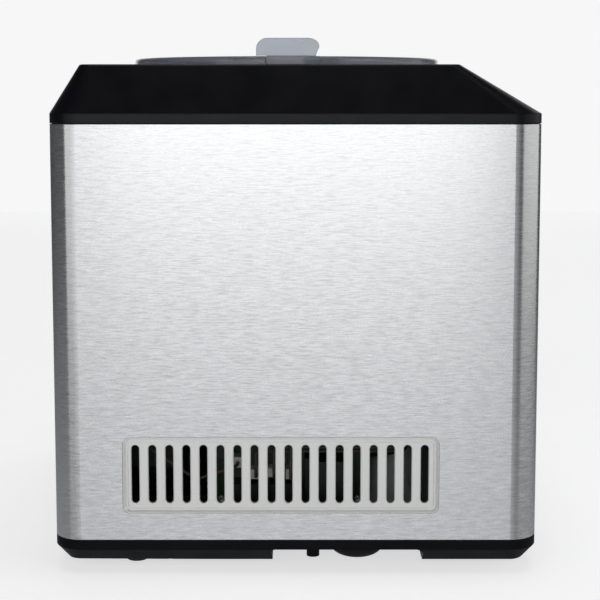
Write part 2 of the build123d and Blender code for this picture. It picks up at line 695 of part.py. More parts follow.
with BuildPart() as lid:
    with BuildSketch(radial_plane):
        with BuildLine():
            Polyline(
                (LID_RADIUS - 2.0, LID_TOP),
                (0, LID_TOP),
                (0, PLATE_UNDERSIDE),
                (LID_SKIRT_OUTER - 2.0, PLATE_UNDERSIDE),
                (LID_SKIRT_OUTER - 2.0, LID_SKIRT_BOTTOM),
                (LID_SKIRT_OUTER, LID_SKIRT_BOTTOM),
                (LID_SKIRT_OUTER, PLATE_UNDERSIDE),
                (LID_RADIUS - LID_RIM_WALL, PLATE_UNDERSIDE),
                (LID_RADIUS - LID_RIM_WALL, LID_RIM_BOTTOM),
                (LID_RADIUS, LID_RIM_BOTTOM),
                (LID_RADIUS, LID_TOP - 2.0),
            )
            RadiusArc((LID_RADIUS, LID_TOP - 2.0), (LID_RADIUS - 2.0, LID_TOP), -2.0)
        make_face()
    revolve(axis=well_axis)
    # pad under the flap, and the collar of the filling hole
    with BuildSketch(Plane.XY.offset(PLATE_UNDERSIDE - 2.0)):
        with Locations(((FLAP_OUTER_X - 34.0) / 2, AXIS_Y)):
            RectangleRounded(-34.0 - FLAP_OUTER_X, 2 * FLAP_HALF, 4.0)
    extrude(amount=2.5)
    with BuildSketch(Plane.XY.offset(LID_SKIRT_BOTTOM + 1.0)):
        with Locations(((HOLE_OUTER_X + HOLE_INNER_X) / 2, AXIS_Y)):
            RectangleRounded(HOLE_INNER_X - HOLE_OUTER_X + 3.0, 2 * HOLE_HALF + 3.0, 6.0)
    extrude(amount=PLATE_UNDERSIDE - LID_SKIRT_BOTTOM - 1.0)
    # recess for the flap, its tongue and its knuckles
    with BuildSketch(Plane.XY.offset(LID_TOP - FLAP_TOP_RECESS)):
        with Locations(((FLAP_OUTER_X + HINGE_X - 3.0) / 2, AXIS_Y)):
            RectangleRounded(HINGE_X - 3.0 - FLAP_OUTER_X + 0.6, 2 * FLAP_HALF + 0.6, 4.0)
        with Locations((FLAP_OUTER_X - 10.0, (TONGUE_FRONT + TONGUE_REAR) / 2)):
            Rectangle(24.0, TONGUE_REAR - TONGUE_FRONT + 2 * TONGUE_GAP)
        with Locations((HINGE_X - 0.5, AXIS_Y)):
            Rectangle(8.0, 2 * 28.6)
    extrude(amount=FLAP_TOP_RECESS + 1.0, mode=Mode.SUBTRACT)
    with BuildSketch(Plane.XY.offset(HINGE_Z - KNUCKLE_RADIUS - 0.4)):
        with Locations((HINGE_X - 0.5, AXIS_Y)):
            Rectangle(7.0, 2 * 28.6)
    extrude(amount=8.0, mode=Mode.SUBTRACT)
    # filling hole
    with BuildSketch(Plane.XY.offset(LID_SKIRT_BOTTOM)):
        with Locations(((HOLE_OUTER_X + HOLE_INNER_X) / 2, AXIS_Y)):
            RectangleRounded(HOLE_INNER_X - HOLE_OUTER_X, 2 * HOLE_HALF, 4.5)
    extrude(amount=20.0, mode=Mode.SUBTRACT)
    # gap in the rim for the tongue's lip
    with BuildSketch(Plane.XY.offset(LID_RIM_BOTTOM - 1.0)):
        with Locations((0, AXIS_Y)):
            Circle(LID_RADIUS + 1.0)
            Circle(LID_RADIUS - LID_RIM_WALL - 0.3, mode=Mode.SUBTRACT)
        with Locations((-LID_RADIUS, (TONGUE_FRONT + TONGUE_REAR) / 2)):
            Rectangle(60.0, TONGUE_REAR - TONGUE_FRONT + 2 * TONGUE_GAP, mode=Mode.INTERSECT)
    extrude(amount=8.0, mode=Mode.SUBTRACT)
    # two end knuckles with their webs
    with BuildSketch(Plane.XZ.offset(-AXIS_Y)):
        with Locations((HINGE_X, HINGE_Z)):
            Circle(KNUCKLE_RADIUS)
        with Locations((HINGE_X, HINGE_Z - 1.4)):
            Rectangle(2 * KNUCKLE_RADIUS, 2.8)
    knuckle_ends = extrude(amount=28.6, both=True, mode=Mode.PRIVATE)
    with BuildSketch(Plane.XY.offset(HINGE_Z - KNUCKLE_RADIUS - 1.0)):
        with Locations((HINGE_X, AXIS_Y)):
            Rectangle(7.0, 2 * (KNUCKLE_HALF + 0.3))
    knuckle_gap = extrude(amount=10.0, mode=Mode.PRIVATE)
    add(knuckle_ends - knuckle_gap)
    with BuildSketch(Plane.XZ.offset(-AXIS_Y)):
        with Locations((HINGE_X, HINGE_Z)):
            Circle(PIN_RADIUS + 0.04)
    extrude(amount=27.6, both=True, mode=Mode.SUBTRACT)

lid.part.label = "lid"
export_step(lid.part, "parts/lid.step")

TAB_X = -96.0
TAB_THICKNESS = 2.2
TAB_TOP = 314.4
TAB_FRONT = -14.1
TAB_REAR = 23.6

with BuildPart() as lid_flap:
    with BuildSketch(Plane.XY.offset(LID_TOP - FLAP_THICKNESS)):
        with Locations(((FLAP_OUTER_X + FLAP_INNER_X) / 2, AXIS_Y)):
            RectangleRounded(FLAP_INNER_X - FLAP_OUTER_X, 2 * FLAP_HALF, 3.8)
        with Locations((FLAP_OUTER_X - 9.0, (TONGUE_FRONT + TONGUE_REAR) / 2)):
            Rectangle(22.0, TONGUE_REAR - TONGUE_FRONT)
        with Locations((0, AXIS_Y)):
            Circle(LID_RADIUS, mode=Mode.INTERSECT)
    extrude(amount=FLAP_THICKNESS)
    # lip that closes the gap in the rim
    with BuildSketch(Plane.XY.offset(LID_RIM_BOTTOM)):
        with Locations((0, AXIS_Y)):
            Circle(LID_RADIUS)
            Circle(LID_RADIUS - LID_RIM_WALL, mode=Mode.SUBTRACT)
        with Locations((-LID_RADIUS, (TONGUE_FRONT + TONGUE_REAR) / 2)):
            Rectangle(60.0, TONGUE_REAR - TONGUE_FRONT, mode=Mode.INTERSECT)
    extrude(amount=LID_TOP - LID_RIM_BOTTOM - 0.5)
    # hinge knuckle and its web
    with BuildSketch(Plane.XZ.offset(-AXIS_Y)):
        with Locations((HINGE_X, HINGE_Z)):
            Circle(KNUCKLE_RADIUS)
        with Locations((HINGE_X - 2.0, HINGE_Z + 0.4)):
            Rectangle(4.0, 2.0)
    extrude(amount=KNUCKLE_HALF, both=True)
    with BuildSketch(Plane.XZ.offset(-AXIS_Y)):
        with Locations((HINGE_X, HINGE_Z)):
            Circle(PIN_RADIUS + 0.08)
    extrude(amount=KNUCKLE_HALF + 1.0, both=True, mode=Mode.SUBTRACT)
    # upright pull tab, its rear end overhanging the lid
    with BuildSketch(Plane.YZ.offset(TAB_X)):
        with BuildLine():
            Line((TAB_REAR, LID_TOP + 0.3), (TONGUE_REAR - 0.3, LID_TOP + 0.3))
            Line((TONGUE_REAR - 0.3, LID_TOP + 0.3), (TONGUE_REAR - 0.3, LID_TOP - 0.5))
            Line((TONGUE_REAR - 0.3, LID_TOP - 0.5), (TAB_FRONT + 2.0, LID_TOP - 0.5))
            Spline(
                (TAB_FRONT + 2.0, LID_TOP - 0.5),
                (TAB_FRONT, LID_TOP + 5.4),
                (TAB_FRONT + 7.2, TAB_TOP),
                tangents=[(-0.1, 1), (1, 0)],
            )
            Line((TAB_FRONT + 7.2, TAB_TOP), (TAB_REAR - 6.6, TAB_TOP))
            RadiusArc((TAB_REAR - 6.6, TAB_TOP), (TAB_REAR, TAB_TOP - 6.6), 6.6)
            Line((TAB_REAR, TAB_TOP - 6.6), (TAB_REAR, LID_TOP + 0.3))
        make_face()
    extrude(amount=TAB_THICKNESS)

lid_flap.part.label = "lid_flap"
export_step(lid_flap.part, "parts/lid_flap.step")

with BuildPart() as flap_pin:
    with BuildSketch(Plane.XZ.offset(-AXIS_Y)):
        with Locations((HINGE_X, HINGE_Z)):
            Circle(PIN_RADIUS)
    extrude(amount=27.2, both=True)
    chamfer(flap_pin.faces().filter_by(Axis.Y).edges(), 0.3)
flap_pin.part.label = "flap_pin"
export_step(flap_pin.part, "parts/flap_pin.step")

# ------------------------------------------------------------------ bowl and paddle

TUBE_OUTER = 11.0
TUBE_INNER = 9.5
TUBE_TOP = 250.0
GRIP_TOP = 296.0

with BuildPart() as bowl:
    with BuildSketch(radial_plane):
        with BuildLine():
            Polyline(
                (TUBE_INNER, BOWL_BOTTOM),
                (BOWL_RADIUS - 5.0, BOWL_BOTTOM),
                (BOWL_RADIUS - 1.4, BOWL_BOTTOM + 1.4),
                (BOWL_RADIUS, BOWL_BOTTOM + 5.0),
                (BOWL_RADIUS, BOWL_TOP - 4.0),
                (BOWL_RADIUS + 6.0, BOWL_TOP - 4.0),
                (BOWL_RADIUS + 6.0, BOWL_TOP - 0.8),
                (BOWL_RADIUS + 5.2, BOWL_TOP),
                (BOWL_RADIUS - BOWL_WALL, BOWL_TOP),
                (BOWL_RADIUS - BOWL_WALL, BOWL_BOTTOM + 6.0),
                (BOWL_RADIUS - BOWL_WALL - 1.2, BOWL_BOTTOM + 3.2),
                (BOWL_RADIUS - BOWL_WALL - 4.0, BOWL_BOTTOM + 2.0),
                (TUBE_OUTER, BOWL_BOTTOM + 2.0),
                (TUBE_OUTER, TUBE_TOP),
                (TUBE_INNER, TUBE_TOP),
                close=True,
            )
        make_face()
    revolve(axis=well_axis)
    # two finger grips on the rim
    with BuildSketch(Plane.XY.offset(BOWL_TOP - 1.0)):
        with Locations((0, AXIS_Y)):
            Circle(BOWL_RADIUS)
            Circle(BOWL_RADIUS - BOWL_WALL, mode=Mode.SUBTRACT)
            Rectangle(44.0, 4 * BOWL_RADIUS, mode=Mode.INTERSECT)
    extrude(amount=GRIP_TOP - BOWL_TOP + 1.0)
bowl.part.label = "bowl"
export_step(bowl.part, "parts/bowl.step")

PADDLE_HUB_OUTER = 15.0
PADDLE_HUB_INNER = 12.5
PADDLE_TOP = 284.0
PADDLE_REACH = 78.0
PADDLE_BOTTOM = 160.0
BLADE_THICKNESS = 5.0
SOCKET_BOTTOM = 251.5
SOCKET_TOP = 268.0

with BuildPart() as paddle:
    # frame of two upright blades, a floor scraper and two sloping braces
    with BuildSketch(Plane.YZ):
        with Locations((AXIS_Y, (PADDLE_BOTTOM + 262.0) / 2)):
            Rectangle(2 * PADDLE_REACH, 262.0 - PADDLE_BOTTOM)
        for side in (-1, 1):
            with BuildLine():
                Polyline(
                    (AXIS_Y + side * 10.0, 174.0),
                    (AXIS_Y + side * 66.0, 174.0),
                    (AXIS_Y + side * 66.0, 228.0),
                    (AXIS_Y + side * 10.0, 206.0),
                    close=True,
                )
            make_face(mode=Mode.SUBTRACT)
            with BuildLine():
                Polyline(
                    (AXIS_Y + side * 5.0, 218.0),
                    (AXIS_Y + side * 66.0, 242.0),
                    (AXIS_Y + side * 66.0, 270.0),
                    (AXIS_Y + side * 5.0, 270.0),
                    close=True,
                )
            make_face(mode=Mode.SUBTRACT)
        fillet(vertices().filter_by(lambda v: 12.0 < abs(v.Y - AXIS_Y) < 77.0 and v.Z < 261.0), 4.0)
    extrude(amount=BLADE_THICKNESS / 2, both=True)
    with BuildSketch(Plane.XY.offset(PADDLE_BOTTOM)):
        with Locations((0, AXIS_Y)):
            Circle(PADDLE_HUB_OUTER)
    extrude(amount=SOCKET_TOP + 2.0 - PADDLE_BOTTOM)
    # finger knob on top
    with BuildSketch(Plane.XY.offset(SOCKET_TOP + 2.0)):
        with Locations((0, AXIS_Y)):
            Circle(PADDLE_HUB_OUTER)
    extrude(amount=PADDLE_TOP - SOCKET_TOP - 2.0, taper=20)
    with BuildSketch(Plane.XY.offset(PADDLE_BOTTOM - 1.0)):
        with Locations((0, AXIS_Y)):
            Circle(PADDLE_HUB_INNER)
    extrude(amount=SOCKET_BOTTOM + 1.0 - PADDLE_BOTTOM + 1.0, mode=Mode.SUBTRACT)
    with BuildSketch(Plane.XY.offset(SOCKET_BOTTOM)):
        with Locations((0, AXIS_Y)):
            Rectangle(SHAFT_SQUARE + 0.12, SHAFT_SQUARE + 0.12)
    extrude(amount=SOCKET_TOP - SOCKET_BOTTOM, mode=Mode.SUBTRACT)
paddle.part.label = "paddle"
export_step(paddle.part, "parts/paddle.step")

# ------------------------------------------------------------------ well, coil and insulation

SEAL_RADIUS = 9.0
COIL_TUBE_RADIUS = 4.0
COIL_RADIUS = WELL_RADIUS + WELL_WALL + COIL_TUBE_RADIUS + 0.2
COIL_BOTTOM = 164.0
COIL_PITCH = 11.5
COIL_TURNS = 9.5
COIL_TOP = COIL_BOTTOM + COIL_PITCH * COIL_TURNS
TAIL_BOTTOM = 132.0
TAIL_RADIUS = 99.5
FOAM_BOTTOM = 141.0
FOAM_INNER = COIL_RADIUS + COIL_TUBE_RADIUS + 0.3
NECK_RADIUS = 14.0

with BuildPart() as well:
    with BuildSketch(radial_plane):
        with BuildLine():
            Polyline(
                (SEAL_RADIUS + 0.05, WELL_FLOOR - WELL_WALL),
                (WELL_RADIUS - 1.8, WELL_FLOOR - WELL_WALL),
                (WELL_RADIUS + WELL_WALL, WELL_FLOOR + 1.8),
                (WELL_RADIUS + WELL_WALL, FLANGE_TOP - 1.4),
                (FLANGE_RADIUS, FLANGE_TOP - 1.4),
                (FLANGE_RADIUS, FLANGE_TOP),
                (WELL_RADIUS, FLANGE_TOP),
                (WELL_RADIUS, WELL_FLOOR + 2.3),
                (WELL_RADIUS - 2.3, WELL_FLOOR),
                (SEAL_RADIUS + 0.05, WELL_FLOOR),
                close=True,
            )
        make_face()
    revolve(axis=well_axis)
    with BuildSketch(Plane.XY.offset(FLANGE_TOP + 1.0)):
        with Locations(*WELL_SCREWS):
            Circle(2.2)
    extrude(amount=-5.0, mode=Mode.SUBTRACT)
well.part.label = "well"
export_step(well.part, "parts/well.step")

with BuildPart() as well_gasket:
    with BuildSketch(Plane.XY.offset(FLANGE_TOP)):
        with Locations((0, AXIS_Y)):
            Circle(OPENING_RADIUS + 2.4)
            Circle(OPENING_RADIUS - 1.0, mode=Mode.SUBTRACT)
    extrude(amount=COLLAR_BOTTOM - FLANGE_TOP)
well_gasket.part.label = "well_gasket"
export_step(well_gasket.part, "parts/well_gasket.step")

with BuildPart() as evaporator_coil:
    with BuildLine() as coil_path:
        Helix(
            pitch=COIL_PITCH,
            height=COIL_TOP - COIL_BOTTOM,
            radius=COIL_RADIUS,
            center=(0, AXIS_Y, COIL_BOTTOM),
        )
    with BuildSketch(Plane(origin=coil_path.wire() @ 0, z_dir=coil_path.wire() % 0)):
        Circle(COIL_TUBE_RADIUS)
    sweep(path=coil_path.wire(), is_frenet=True)
    # lower tail, straight down beside the well
    with Locations((COIL_RADIUS, AXIS_Y, COIL_BOTTOM)):
        Sphere(COIL_TUBE_RADIUS)
    with BuildSketch(Plane.XY.offset(TAIL_BOTTOM)):
        with Locations((COIL_RADIUS, AXIS_Y)):
            Circle(COIL_TUBE_RADIUS)
    extrude(amount=COIL_BOTTOM - TAIL_BOTTOM)
    # upper tail, out into the foam and down through it
    with Locations((-COIL_RADIUS, AXIS_Y, COIL_TOP), (-TAIL_RADIUS, AXIS_Y, COIL_TOP)):
        Sphere(COIL_TUBE_RADIUS)
    with BuildSketch(Plane.YZ.offset(-TAIL_RADIUS)):
        with Locations((AXIS_Y, COIL_TOP)):
            Circle(COIL_TUBE_RADIUS)
    extrude(amount=TAIL_RADIUS - COIL_RADIUS)
    with BuildSketch(Plane.XY.offset(TAIL_BOTTOM)):
        with Locations((-TAIL_RADIUS, AXIS_Y)):
            Circle(COIL_TUBE_RADIUS)
    extrude(amount=COIL_TOP - TAIL_BOTTOM)
evaporator_coil.part.label = "evaporator_coil"
export_step(evaporator_coil.part, "parts/evaporator_coil.step")

with BuildPart() as insulation:
    with BuildSketch(Plane.XY.offset(FOAM_BOTTOM)):
        with Locations((0, AXIS_Y)):
            Circle(INSULATION_RADIUS)
    extrude(amount=FLANGE_TOP - 1.5 - FOAM_BOTTOM)
    with BuildSketch(Plane.XY.offset(WELL_FLOOR - WELL_WALL - 0.1)):
        with Locations((0, AXIS_Y)):
            Circle(FOAM_INNER)
    extrude(amount=FLANGE_TOP, mode=Mode.SUBTRACT)
    # passages for the gearbox neck and the coil's two tails
    with BuildSketch(Plane.XY.offset(FOAM_BOTTOM - 1.0)):
        with Locations((0, AXIS_Y)):
            Circle(NECK_RADIUS + 0.3)
        with Locations((COIL_RADIUS, AXIS_Y)):
            Circle(COIL_TUBE_RADIUS + 0.4)
    extrude(amount=20.0, mode=Mode.SUBTRACT)
    with BuildSketch(Plane.XY.offset(FOAM_BOTTOM - 1.0)):
        with Locations((-TAIL_RADIUS, AXIS_Y)):
            Circle(COIL_TUBE_RADIUS + 0.4)
    extrude(amount=FLANGE_TOP, mode=Mode.SUBTRACT)
    with BuildSketch(Plane.XY.offset(COIL_TOP - COIL_TUBE_RADIUS - 1.0)):
        with Locations((-(TAIL_RADIUS + COIL_RADIUS) / 2, AXIS_Y)):
            Rectangle(TAIL_RADIUS - COIL_RADIUS, 2 * COIL_TUBE_RADIUS + 0.8)
    extrude(amount=FLANGE_TOP, mode=Mode.SUBTRACT)
    # pockets for the heads of the well's screws
    with BuildSketch(Plane.XY.offset(FLANGE_TOP - 8.0)):
        with Locations(*WELL_SCREWS):
            Circle(4.5)
    extrude(amount=8.0, mode=Mode.SUBTRACT)
insulation.part.label = "insulation"
export_step(insulation.part, "parts/insulation.step")

# ------------------------------------------------------------------ chassis plate, posts, support plate

POST_WIDTH = 13.0
POST_WALL = 1.4
COMPRESSOR_BOLTS = [
    (COMPRESSOR_X + dx, COMPRESSOR_Y + dy) for dx in (-42.0, 42.0) for dy in (-38.0, 38.0)
]

with BuildPart() as chassis_plate:
    with BuildSketch(Plane.XY.offset(PLATE_BOTTOM)):
        RectangleRounded(BODY_WIDTH - 8.0, BODY_DEPTH - 8.0, BODY_CORNER - 4.0)
        with Locations((SCREW_POCKET_X, SCREW_POCKET_Y), (-SCREW_POCKET_X, SCREW_POCKET_Y)):
            Circle(2.3, mode=Mode.SUBTRACT)
        with GridLocations(2 * POST_X, POST_REAR_Y - POST_FRONT_Y, 2, 2):
            Circle(2.2, mode=Mode.SUBTRACT)
        with Locations(*COMPRESSOR_BOLTS):
            Circle(3.2, mode=Mode.SUBTRACT)
        with GridLocations(11.0, 40.0, 9, 2):
            SlotOverall(30.0, 5.0, rotation=90, mode=Mode.SUBTRACT)
    extrude(amount=PLATE_TOP - PLATE_BOTTOM)
chassis_plate.part.label = "chassis_plate"
export_step(chassis_plate.part, "parts/chassis_plate.step")

with BuildPart() as corner_posts:
    for side in (-1, 1):
        for end in (-1, 1):
            corner_x = side * (POST_X + POST_WIDTH / 2)
            corner_y = end * (POST_REAR_Y + POST_WIDTH / 2)
            with BuildSketch(Plane.XY.offset(PLATE_TOP)):
                with Locations((corner_x - side * POST_WALL / 2, end * POST_REAR_Y)):
                    Rectangle(POST_WALL, POST_WIDTH)
                with Locations((side * POST_X, corner_y - end * POST_WALL / 2)):
                    Rectangle(POST_WIDTH, POST_WALL)
            extrude(amount=SHELL_TOP - PLATE_TOP)
            for level in (PLATE_TOP, SHELL_TOP - POST_WALL):
                with BuildSketch(Plane.XY.offset(level)):
                    with Locations((side * POST_X, end * POST_REAR_Y)):
                        Rectangle(POST_WIDTH, POST_WIDTH)
                        Circle(2.1, mode=Mode.SUBTRACT)
                extrude(amount=POST_WALL)
corner_posts.part.label = "corner_posts"
export_step(corner_posts.part, "parts/corner_posts.step")

GEARBOX_LUGS = [(-30.5, 0.0), (30.5, 0.0), (-28.5, -30.0), (28.5, -30.0), (0.0, 37.6)]

with BuildPart() as support_plate:
    with BuildSketch(Plane.XY.offset(SUPPORT_BOTTOM)):
        Rectangle(2 * (POST_X + POST_WIDTH / 2 - POST_WALL), 2 * (POST_REAR_Y - POST_WIDTH / 2))
        Rectangle(
            2 * (POST_X - POST_WIDTH / 2), 2 * (POST_REAR_Y + POST_WIDTH / 2 - POST_WALL)
        )
        with Locations((0, AXIS_Y)):
            Circle(NECK_RADIUS + 0.3, mode=Mode.SUBTRACT)
        with Locations((COIL_RADIUS, AXIS_Y), (-TAIL_RADIUS, AXIS_Y)):
            Circle(COIL_TUBE_RADIUS + 0.4, mode=Mode.SUBTRACT)
        with Locations(*GEARBOX_LUGS):
            Circle(1.8, mode=Mode.SUBTRACT)
    extrude(amount=SUPPORT_TOP - SUPPORT_BOTTOM)
support_plate.part.label = "support_plate"
export_step(support_plate.part, "parts/support_plate.step")

# ------------------------------------------------------------------ gearbox

GEARBOX_BOTTOM = 107.0
GEARBOX_FLOOR = 110.0
GEARBOX_CEILING = 135.0
GEARBOX_TOP = SUPPORT_BOTTOM - 0.1
NECK_TOP = 151.6
IDLER_PIN_RADIUS = 3.0
SHAFT_BOTTOM = 104.6
SHAFT_TOP = 266.0
SQUARE_BOTTOM = 250.5


def gearbox_outline(end_radius, middle_radius, motor_end_radius):
    """Outline round the three gear axes, as a face in the ground plane."""
    with BuildSketch() as outline:
        with Locations((0, AXIS_Y)):
            Circle(end_radius)
        with Locations((0, IDLER_Y)):
            Circle(middle_radius)
        with Locations((0, MOTOR_Y)):
            Circle(motor_end_radius)
        make_hull()
    return outline.sketch


housing_outline = gearbox_outline(29.4, 25.4, 19.0)
chamber_outline = gearbox_outline(26.2, 22.2, 15.8)

with BuildPart() as gearbox_housing:
    with BuildSketch(Plane.XY.offset(GEARBOX_FLOOR)):
        add(housing_outline)
        with Locations(*GEARBOX_LUGS):
            Circle(5.0)
    extrude(amount=GEARBOX_TOP - GEARBOX_FLOOR)
    with BuildSketch(Plane.XY.offset(GEARBOX_FLOOR)):
        add(chamber_outline)
    extrude(amount=GEARBOX_CEILING - GEARBOX_FLOOR, mode=Mode.SUBTRACT)
    with BuildSketch(Plane.XY.offset(GEARBOX_TOP)):
        with Locations((0, AXIS_Y)):
            Circle(NECK_RADIUS)
    extrude(amount=NECK_TOP - GEARBOX_TOP)
    with BuildSketch(Plane.XY.offset(GEARBOX_CEILING - 1.0)):
        with Locations((0, AXIS_Y)):
            Circle(SEAL_RADIUS + 0.04)
    extrude(amount=30.0, mode=Mode.SUBTRACT)
    with BuildSketch(Plane.XY.offset(GEARBOX_CEILING - 1.0)):
        with Locations((0, IDLER_Y)):
            Circle(IDLER_PIN_RADIUS + 0.03)
    extrude(amount=3.4, mode=Mode.SUBTRACT)
    with BuildSketch(Plane.XY.offset(GEARBOX_FLOOR)):
        with Locations(*GEARBOX_LUGS):
            Circle(1.8)
    extrude(amount=40.0, mode=Mode.SUBTRACT)
gearbox_housing.part.label = "gearbox_housing"
export_step(gearbox_housing.part, "parts/gearbox_housing.step")

with BuildPart() as gearbox_cover:
    with BuildSketch(Plane.XY.offset(GEARBOX_BOTTOM)):
        add(housing_outline)
        with Locations((0, MOTOR_Y)):
            Circle(MOTOR_RADIUS + 2.0)
        with Locations(*GEARBOX_LUGS):
            Circle(5.0)
    extrude(amount=GEARBOX_FLOOR - GEARBOX_BOTTOM)
    with BuildSketch(Plane.XY.offset(GEARBOX_BOTTOM)):
        with Locations((0, AXIS_Y)):
            Circle(10.0)
    extrude(amount=-4.0)
    with BuildSketch(Plane.XY.offset(GEARBOX_BOTTOM - 3.0)):
        with Locations((0, AXIS_Y)):
            Circle(SHAFT_RADIUS + 0.05)
    extrude(amount=10.0, mode=Mode.SUBTRACT)
    with BuildSketch(Plane.XY.offset(GEARBOX_BOTTOM)):
        with Locations((0, IDLER_Y)):
            Circle(IDLER_PIN_RADIUS + 0.03)
        with Locations((0, MOTOR_Y)):
            Circle(8.0)
        with Locations(*GEARBOX_LUGS):
            Circle(1.8)
    extrude(amount=10.0, mode=Mode.SUBTRACT)
gearbox_cover.part.label = "gearbox_cover"
export_step(gearbox_cover.part, "parts/gearbox_cover.step")

output_disc = gear_disc(0, AXIS_Y, OUTPUT_TEETH, 0.0, 122.0, 131.0)
with BuildPart() as output_gear:
    add(output_disc)
    with BuildSketch(Plane.XY.offset(119.0)):
        with Locations((0, AXIS_Y)):
            Circle(8.8)
    extrude(amount=14.5)
    with BuildSketch(Plane.XY.offset(115.0)):
        with Locations((0, AXIS_Y)):
            Circle(SHAFT_RADIUS + 0.02)
            with PolarLocations(15.5, 6):
                Circle(4.2)
    extrude(amount=25.0, mode=Mode.SUBTRACT)
output_gear.part.label = "output_gear"
export_step(output_gear.part, "parts/output_gear.step")

idler_large_disc = gear_disc(0, IDLER_Y, IDLER_LARGE_TEETH, 0.0, 113.0, 119.5)
idler_small_disc = gear_disc(0, IDLER_Y, IDLER_SMALL_TEETH, 15.0, 119.5, 133.0)
with BuildPart() as idler_gear:
    add(idler_large_disc)
    add(idler_small_disc)
    with BuildSketch(Plane.XY.offset(112.0)):
        with Locations((0, IDLER_Y)):
            Circle(IDLER_PIN_RADIUS + 0.06)
    extrude(amount=25.0, mode=Mode.SUBTRACT)
idler_gear.part.label = "idler_gear"
export_step(idler_gear.part, "parts/idler_gear.step")

with BuildPart() as idler_pin:
    with BuildSketch(Plane.XY.offset(GEARBOX_BOTTOM + 0.1)):
        with Locations((0, IDLER_Y)):
            Circle(IDLER_PIN_RADIUS)
    extrude(amount=GEARBOX_CEILING + 2.2 - GEARBOX_BOTTOM)
    chamfer(idler_pin.faces().filter_by(Axis.Z).edges(), 0.4)
idler_pin.part.label = "idler_pin"
export_step(idler_pin.part, "parts/idler_pin.step")

with BuildPart() as drive_shaft:
    with BuildSketch(Plane.XY.offset(SHAFT_BOTTOM)):
        with Locations((0, AXIS_Y)):
            Circle(SHAFT_RADIUS)
    extrude(amount=SQUARE_BOTTOM - SHAFT_BOTTOM)
    with BuildSketch(Plane.XY.offset(SQUARE_BOTTOM)):
        with Locations((0, AXIS_Y)):
            Rectangle(SHAFT_SQUARE, SHAFT_SQUARE)
    extrude(amount=SHAFT_TOP - SQUARE_BOTTOM)
    chamfer(drive_shaft.faces().sort_by(Axis.Z)[-1].edges(), 0.8)
drive_shaft.part.label = "drive_shaft"
export_step(drive_shaft.part, "parts/drive_shaft.step")

with BuildPart() as shaft_bush:
    with BuildSketch(Plane.XY.offset(136.0)):
        with Locations((0, AXIS_Y)):
            Circle(SEAL_RADIUS)
            Circle(SHAFT_RADIUS + 0.05, mode=Mode.SUBTRACT)
    extrude(amount=NECK_TOP - 136.0)
shaft_bush.part.label = "shaft_bush"
export_step(shaft_bush.part, "parts/shaft_bush.step")

with BuildPart() as shaft_seal:
    with BuildSketch(radial_plane):
        with BuildLine():
            Polyline(
                (SHAFT_RADIUS + 0.06, 152.0),
                (SEAL_RADIUS, 152.0),
                (SEAL_RADIUS, 155.8),
                (SHAFT_RADIUS + 1.2, 158.0),
                (SHAFT_RADIUS + 0.06, 158.0),
                close=True,
            )
        make_face()
    revolve(axis=well_axis)
shaft_seal.part.label = "shaft_seal"
export_step(shaft_seal.part, "parts/shaft_seal.step")

# ------------------------------------------------------------------ drive motor

CAN_BOTTOM = 44.0
CAN_TOP = GEARBOX_BOTTOM - 0.1
CAN_WALL = 1.5
MOTOR_SHAFT_RADIUS = 1.6
MAGNET_INNER = 19.5

with BuildPart() as motor_can:
    with BuildSketch(Plane.XY.offset(CAN_BOTTOM)):
        with Locations((0, MOTOR_Y)):
            Circle(MOTOR_RADIUS)
    extrude(amount=CAN_TOP - CAN_BOTTOM)
    with BuildSketch(Plane.XY.offset(CAN_BOTTOM)):
        with Locations((0, MOTOR_Y)):
            Circle(MOTOR_RADIUS - CAN_WALL)
    extrude(amount=CAN_TOP - CAN_BOTTOM - CAN_WALL, mode=Mode.SUBTRACT)
    with BuildSketch(Plane.XY.offset(CAN_TOP + 1.0)):
        with Locations((0, MOTOR_Y)):
            Circle(MOTOR_SHAFT_RADIUS + 0.06)
    extrude(amount=-5.0, mode=Mode.SUBTRACT)
motor_can.part.label = "motor_can"
export_step(motor_can.part, "parts/motor_can.step")

with BuildPart() as motor_end_cap:
    with BuildSketch(Plane.XY.offset(CAN_BOTTOM)):
        with Locations((0, MOTOR_Y)):
            Circle(MOTOR_RADIUS)
    extrude(amount=-2.5)
    with BuildSketch(Plane.XY.offset(CAN_BOTTOM - 2.5)):
        with Locations((0, MOTOR_Y)):
            Circle(7.0)
    extrude(amount=-4.0, taper=8)
    with BuildSketch(Plane.XY.offset(CAN_BOTTOM)):
        with Locations((0, MOTOR_Y)):
            Circle(MOTOR_SHAFT_RADIUS + 0.06)
    extrude(amount=-5.0, mode=Mode.SUBTRACT)
motor_end_cap.part.label = "motor_end_cap"
export_step(motor_end_cap.part, "parts/motor_end_cap.step")

with BuildPart() as motor_magnets:
    with BuildSketch(Plane.XY.offset(52.0)):
        with Locations((0, MOTOR_Y)):
            Circle(MOTOR_RADIUS - CAN_WALL - 0.1)
            Circle(MAGNET_INNER, mode=Mode.SUBTRACT)
            Rectangle(14.0, 2 * MOTOR_RADIUS, mode=Mode.SUBTRACT)
    extrude(amount=46.0)
motor_magnets.part.label = "motor_magnets"
export_step(motor_magnets.part, "parts/motor_magnets.step")

